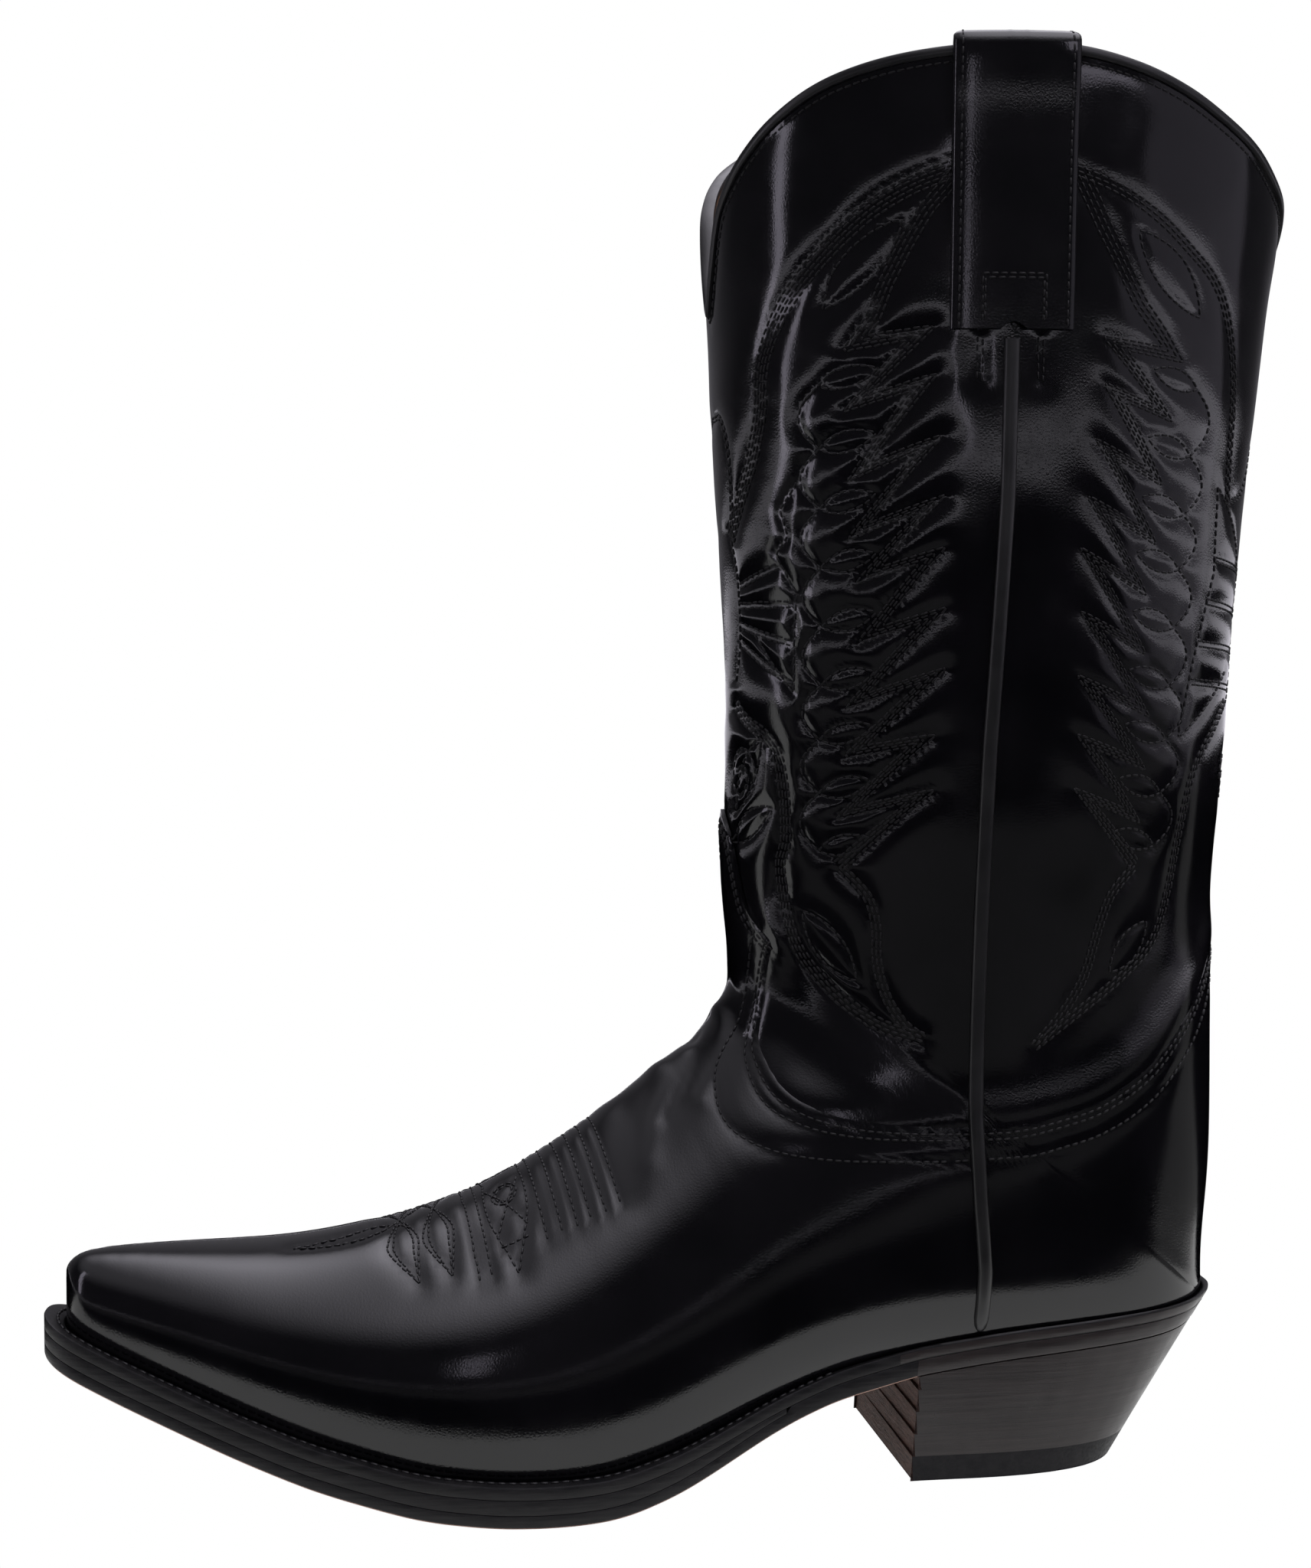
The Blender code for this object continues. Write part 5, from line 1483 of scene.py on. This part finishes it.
def layer_rings(lines, profile, count, x_min=-math.inf):
    """Cross-sections of a layer, out along its outer side and back along its inner side.

    profile gives for each point its inset from the outline, the surface it is on, a height.
    """
    edges = {side: [offset_line(lines[side], -inset) for inset, _, _ in profile] for side in lines}
    rings = []
    for i in range(count):
        ring = []
        for side, order in ((OUTER, range(len(profile))), (INNER, reversed(range(len(profile))))):
            for j in order:
                x, y = edges[side][j][i]
                x = max(x, x_min)
                ring.append((x, side * y, float(profile[j][1](x)) + profile[j][2]))
        rings.append(heel_taper(ring))
    return rings


def sole_layer(name, node, x_to, low, high, looks, chamfer=0.45):
    """A layer of the sole; looks are those of its edge, its underside and its edge over the heel."""
    lines = {side: sole_lines(side)[0] for side in (OUTER, INNER)}
    count = int(np.sum(np.maximum(lines[OUTER][:, 0], lines[INNER][:, 0]) < x_to))
    profile = [(1.6, low, 0.0), (chamfer, low, 0.0), (chamfer * 0.3, low, chamfer * 0.7),
               (0.0, low, chamfer * 1.6), (0.0, high, -0.3), (0.1, high, -0.08), (0.4, high, 0.0)]
    rings = layer_rings(lines, profile, count)
    points, faces = ring_sweep(rings, closed=False)
    size = 2 * len(profile)
    under = {size - 1, 0, 1, size - 2, size - 3}
    sides = (count - 1) * size

    def face_look(n):
        over_heel = n < sides and rings[n // size][0][0] > BREAST_X - 2
        return 2 if over_heel else int(n < sides and n % size in under)

    made = make_mesh(name, points, faces, looks, [face_look(n) for n in range(len(faces))])
    settle(oriented(made), "sole_leather", node)


def sole(looks):
    """The midsole under the forefoot and the outsole, which fills both layers behind it."""
    def seat(x):
        return float(seat_z(x)) - 0.05

    def midsole_low(x):
        return sole_z(x) + OUTSOLE_THICKNESS + 0.06

    def outsole_top(x):
        return min(seat(x), float(sole_z(x)) + OUTSOLE_THICKNESS) if x < MIDSOLE_END else seat(x)

    edge = looks["edge"]
    sole_layer("midsole_leather", "midsole", MIDSOLE_END, midsole_low, seat, [edge] * 3, chamfer=0.12)
    sole_layer("outsole_leather", "outsole", math.inf, sole_z, outsole_top,
               [edge, looks["underside"], looks["heel"]])


def heel_outline():
    """Both half outlines of the heel from its breast to its back, with the same count of points."""
    lines = {}
    for side in (OUTER, INNER):
        line = offset_line(sole_lines(side)[0], -0.15)
        start = float(np.interp(BREAST_X, line[:, 0], line[:, 1]))
        lines[side] = np.concatenate([[(BREAST_X, start)], line[line[:, 0] > BREAST_X + 0.4]])
    count = min(len(line) for line in lines.values())
    for side, line in lines.items():
        run = running_length(line)
        lines[side] = sample(np.linspace(0, run[-1], count), run, line)
    return lines


def heel(looks):
    """Rubber top piece, leather lifts and the wedge that meets the sole."""
    lines = heel_outline()
    nodes = ["heel_top_piece", "heel_lift_1", "heel_lift_2", "heel_lift_3", "heel_seat_lift"]
    floors = [0.0] + [z + HEEL_JOINT for z in HEEL_LIFTS]
    for node, floor, top in zip(nodes, floors, HEEL_LIFTS + (None,)):
        kind = "rubber" if node == "heel_top_piece" else "leather"

        def low(x, z=floor):
            return z

        def high(x, z=top):
            return sole_z(x) - 0.12 if z is None else z

        profile = [(1.0, low, 0.0), (0.0, low, 0.0), (0.0, high, 0.0), (1.0, high, 0.0)]
        rings = layer_rings(lines, profile, len(lines[OUTER]), BREAST_X)
        points, faces = ring_sweep(rings, closed=False)
        breast = (len(rings) - 1) * 2 * len(profile)
        finish = [looks["rubber" if kind == "rubber" else "heel"], looks["breast"]]
        face_looks = [int(n == breast) for n in range(len(faces))]
        made = make_mesh(f"{node}_{kind}", points, faces, finish, face_looks)
        settle(oriented(made), "heel_" + kind, node)


def welt_stitches(thread):
    """The row of lockstitches in the crease between the upper and the welt."""
    for side, name in SIDE_NAMES:
        rim, wall = sole_lines(side)
        line = in_plan(wall, rim, 1.7)
        line = line[line[:, 0] < WELT_END - 18]
        z = seat_z(line[:, 0]) + WELT_HEIGHT
        points = np.stack([line[:, 0], side * line[:, 1], z], 1)
        normals = np.tile([0.0, 0.0, 1.0], (len(points), 1))
        thread.line(f"stitching_welt_{name}", points, normals, 0.1, dip=0, pitch=2.7, radius=0.5)


# ---------------------------------------------------------------- the studio

# The room's light by direction: from and to which share of the way it rises, and its strength
# before and after. Overhead light rises with height and fades towards the toe.
OVERHEAD = (0.46, 0.88, 0.0, 3.1)
TOE_FADE = (-0.45, 0.12, 0.16, 1.0)
BEHIND = (0.45, 0.98, 0.0, 0.10)
ROOM = 0.045                   # added everywhere
TINT, LAMP_TINT = (1.0, 0.97, 1.07), (1.0, 0.94, 1.12)   # of the room's light and of the softboxes
# Cards on the floor that only reflections see: x range and y range in metres, brightness.
CARDS = [
    ("card_under", (-3, 0.34), (-0.10, 0.10), 1.05),
    ("card_heel_end", (0.34, 3), (-0.10, 0.10), 0.2),
    ("card_front", (-3, 3), (-0.30, -0.10), 0.0),
    ("card_middle_front", (-3, 3), (-0.6, -0.3), 0.12),
    ("card_far_front", (-3, 3), (-4, -0.6), 0.0),
    ("card_back", (-3, 3), (0.10, 4), 0.0),
]
# Softboxes, turned towards the boot: place, width and height, power.
LIGHTS = [
    ("left_strip", (-1.15, -0.16, 0.55), (0.16, 0.9), 1.1),
    ("right_wall", (1.1, -0.42, 0.36), (1.0, 1.15), 1.0),
    ("front_strip", (-0.20, -1.5, 0.40), (0.06, 0.32), 0.12),
    ("front_top", (0.75, -1.15, 0.85), (0.55, 0.35), 1.1),
]
LIGHT_TARGET = (0.06, 0.0, 0.24)


def area_light(name, place, size, power):
    data = bpy.data.lights.new(name, "AREA")
    data.shape = "RECTANGLE"
    data.size, data.size_y = size
    data.energy = power
    data.color = LAMP_TINT
    light = put(name, data)
    light.location = place
    light.rotation_euler = (Vector(LIGHT_TARGET) - Vector(place)).to_track_quat("-Z", "Y").to_euler()
    light.visible_camera = False


def studio_light(tree):
    """The room as the boot reflects it: bright overhead and behind, dark elsewhere."""
    def add(kind, **settings):
        node = tree.nodes.new(kind)
        for key, value in settings.items():
            setattr(node, key, value)
        return node

    def eased(value, low, high, before, after):
        node = add("ShaderNodeMapRange", interpolation_type="SMOOTHSTEP")
        set_range(node, low, high, before, after)
        tree.links.new(value, node.inputs["Value"])
        return node.outputs["Result"]

    def joined(operation, first, second):
        node = add("ShaderNodeMath", operation=operation)
        tree.links.new(first, node.inputs[0])
        tree.links.new(second, node.inputs[1])
        return node.outputs[0]

    way = add("ShaderNodeSeparateXYZ")
    tree.links.new(add("ShaderNodeTexCoord").outputs["Generated"], way.inputs["Vector"])
    overhead = joined("MULTIPLY", eased(way.outputs["Z"], *OVERHEAD), eased(way.outputs["X"], *TOE_FADE))
    both = joined("ADD", overhead, eased(way.outputs["Y"], *BEHIND))
    total = add("ShaderNodeMath", operation="ADD")
    tree.links.new(both, total.inputs[0])
    total.inputs[1].default_value = ROOM
    return total.outputs[0]


def studio():
    """The room's light, the backdrop that the camera sees, the lamps and the floor."""
    scene = bpy.context.scene
    scene.view_settings.view_transform = "Standard"
    world = bpy.data.worlds.new("studio")
    world.use_nodes = True
    scene.world = world
    tree = world.node_tree
    lit = tree.nodes["Background"]
    tree.links.new(studio_light(tree), lit.inputs["Strength"])
    lit.inputs["Color"].default_value = (*TINT, 1)
    seen = tree.nodes.new("ShaderNodeBackground")
    seen.inputs["Color"].default_value = (1, 1, 1, 1)
    path = tree.nodes.new("ShaderNodeLightPath")
    choose = tree.nodes.new("ShaderNodeMixShader")
    tree.links.new(path.outputs["Is Camera Ray"], choose.inputs["Fac"])
    tree.links.new(lit.outputs["Background"], choose.inputs[1])
    tree.links.new(seen.outputs["Background"], choose.inputs[2])
    tree.links.new(choose.outputs["Shader"], tree.nodes["World Output"].inputs["Surface"])
    floor_and_cards()
    for name, place, size, power in LIGHTS:
        area_light(name, place, size, power)


def floor_and_cards():
    """The pale floor, which only lights the boot, and the cards on it, which only gloss shows."""
    floor = plate("studio_floor", (-40, 40), (-40, 40), 0.0)
    look = Look("studio_floor")
    look.set(Roughness=0.9, Specular_IOR_Level=0.0)
    pale = look.mix(look.noise(300), (0.86, 0.86, 0.86), (0.90, 0.90, 0.90))
    floor.data.materials.append(look.finish(pale))
    floor.visible_camera = False
    for name, x, y, bright in CARDS:
        look = Look(name)
        look.set(Roughness=1.0, Specular_IOR_Level=0.0, Base_Color=(0, 0, 0, 1),
                 Emission_Color=(1, 1, 1, 1), Emission_Strength=bright)
        card = plate(name, x, y, 0.0005)
        card.data.materials.append(look.made)
        card.visible_camera = card.visible_diffuse = card.visible_shadow = False


def plate(name, x, y, z):
    mesh = bpy.data.meshes.new(name)
    corners = [(x[0], y[0], z), (x[1], y[0], z), (x[1], y[1], z), (x[0], y[1], z)]
    mesh.from_pydata(corners, [], [(0, 1, 2, 3)])
    made = put(name, mesh)
    return made


CAMERA_PLACE = (-0.10435, -0.619, 0.2155)
CAMERA_TILT = (87.07, 0.0, -9.14)
CAMERA_LENS = 53.55


def camera():
    data = bpy.data.cameras.new("camera")
    data.sensor_fit = "AUTO"
    data.sensor_width = 36
    data.lens = CAMERA_LENS
    made = put("camera", data)
    made.location = CAMERA_PLACE
    made.rotation_euler = [math.radians(a) for a in CAMERA_TILT]
    bpy.context.scene.camera = made


def inner_pieces():
    """Better materials for the CAD pieces that stay as they are."""
    finishes = {
        "steel": plain_look("steel", (0.55, 0.55, 0.56), (0.42, 0.42, 0.43), 3, 0.32, 1.0, 0.01),
        "brass": plain_look("brass", (0.65, 0.46, 0.18), (0.5, 0.34, 0.12), 2, 0.35, 1.0, 0.01),
        "peg_wood": plain_look("peg_wood", (0.72, 0.54, 0.33), (0.6, 0.42, 0.24), 1.2, 0.6),
        "cork": plain_look("cork", (0.42, 0.27, 0.15), (0.22, 0.13, 0.07), 2.2, 0.85, 0.0, 0.4),
        "fibre": plain_look("fibre", (0.62, 0.52, 0.4), (0.52, 0.42, 0.31), 1.5, 0.8, 0.0, 0.1),
        "lining_leather": tan_leather("foot_bed_leather"),
    }
    for row in frame["record"]["subparts"]:
        node = frame["nodes"][row["node"]]
        look = finishes.get(row["material_slot"])
        if look and not node.hide_render:
            node.data.materials.clear()
            node.data.materials.append(look)


def main():
    looks = {
        "black": black_leather(), "matt": matt_leather(), "tan": tan_leather(),
        "thread": black_thread(), "edge": sole_edge(),
        "underside": tan_leather("underside_leather", (0.46, 0.30, 0.22), (0.34, 0.21, 0.15)),
        "heel": heel_side(), "breast": raw_breast(), "rubber": black_rubber(),
    }
    camera()
    studio()
    outline = outlines()
    thread = Thread()
    for side, name in SIDE_NAMES:
        front_panel(thread, side, name)
        back_panel(thread, side, name)
    vamp_flower(thread)
    edge_rows(thread)
    top_binding(outline["rim"], thread, looks["matt"])
    straps = [pull_strap("pull_strap_" + name, side, thread, looks["black"]) for side, name in SIDE_NAMES]
    for side, name in SIDE_NAMES:
        side_piping("side_piping_" + name, side, looks["matt"])
    welt_stitches(thread)
    ground = leather_pieces(outline, thread, looks) + straps
    edges = [looks["edge"], looks["heel"]]
    ground.append(edge_strip("welt_leather", "welt", (-math.inf, WELT_END), edges, NO_FACE))
    thread.build(looks["thread"], ground)
    edge_strip("heel_rand_leather", "heel_rand", (WELT_END, math.inf), edges, RAND_SIDE)
    sole(looks)
    heel(looks)
    inner_pieces()


main()
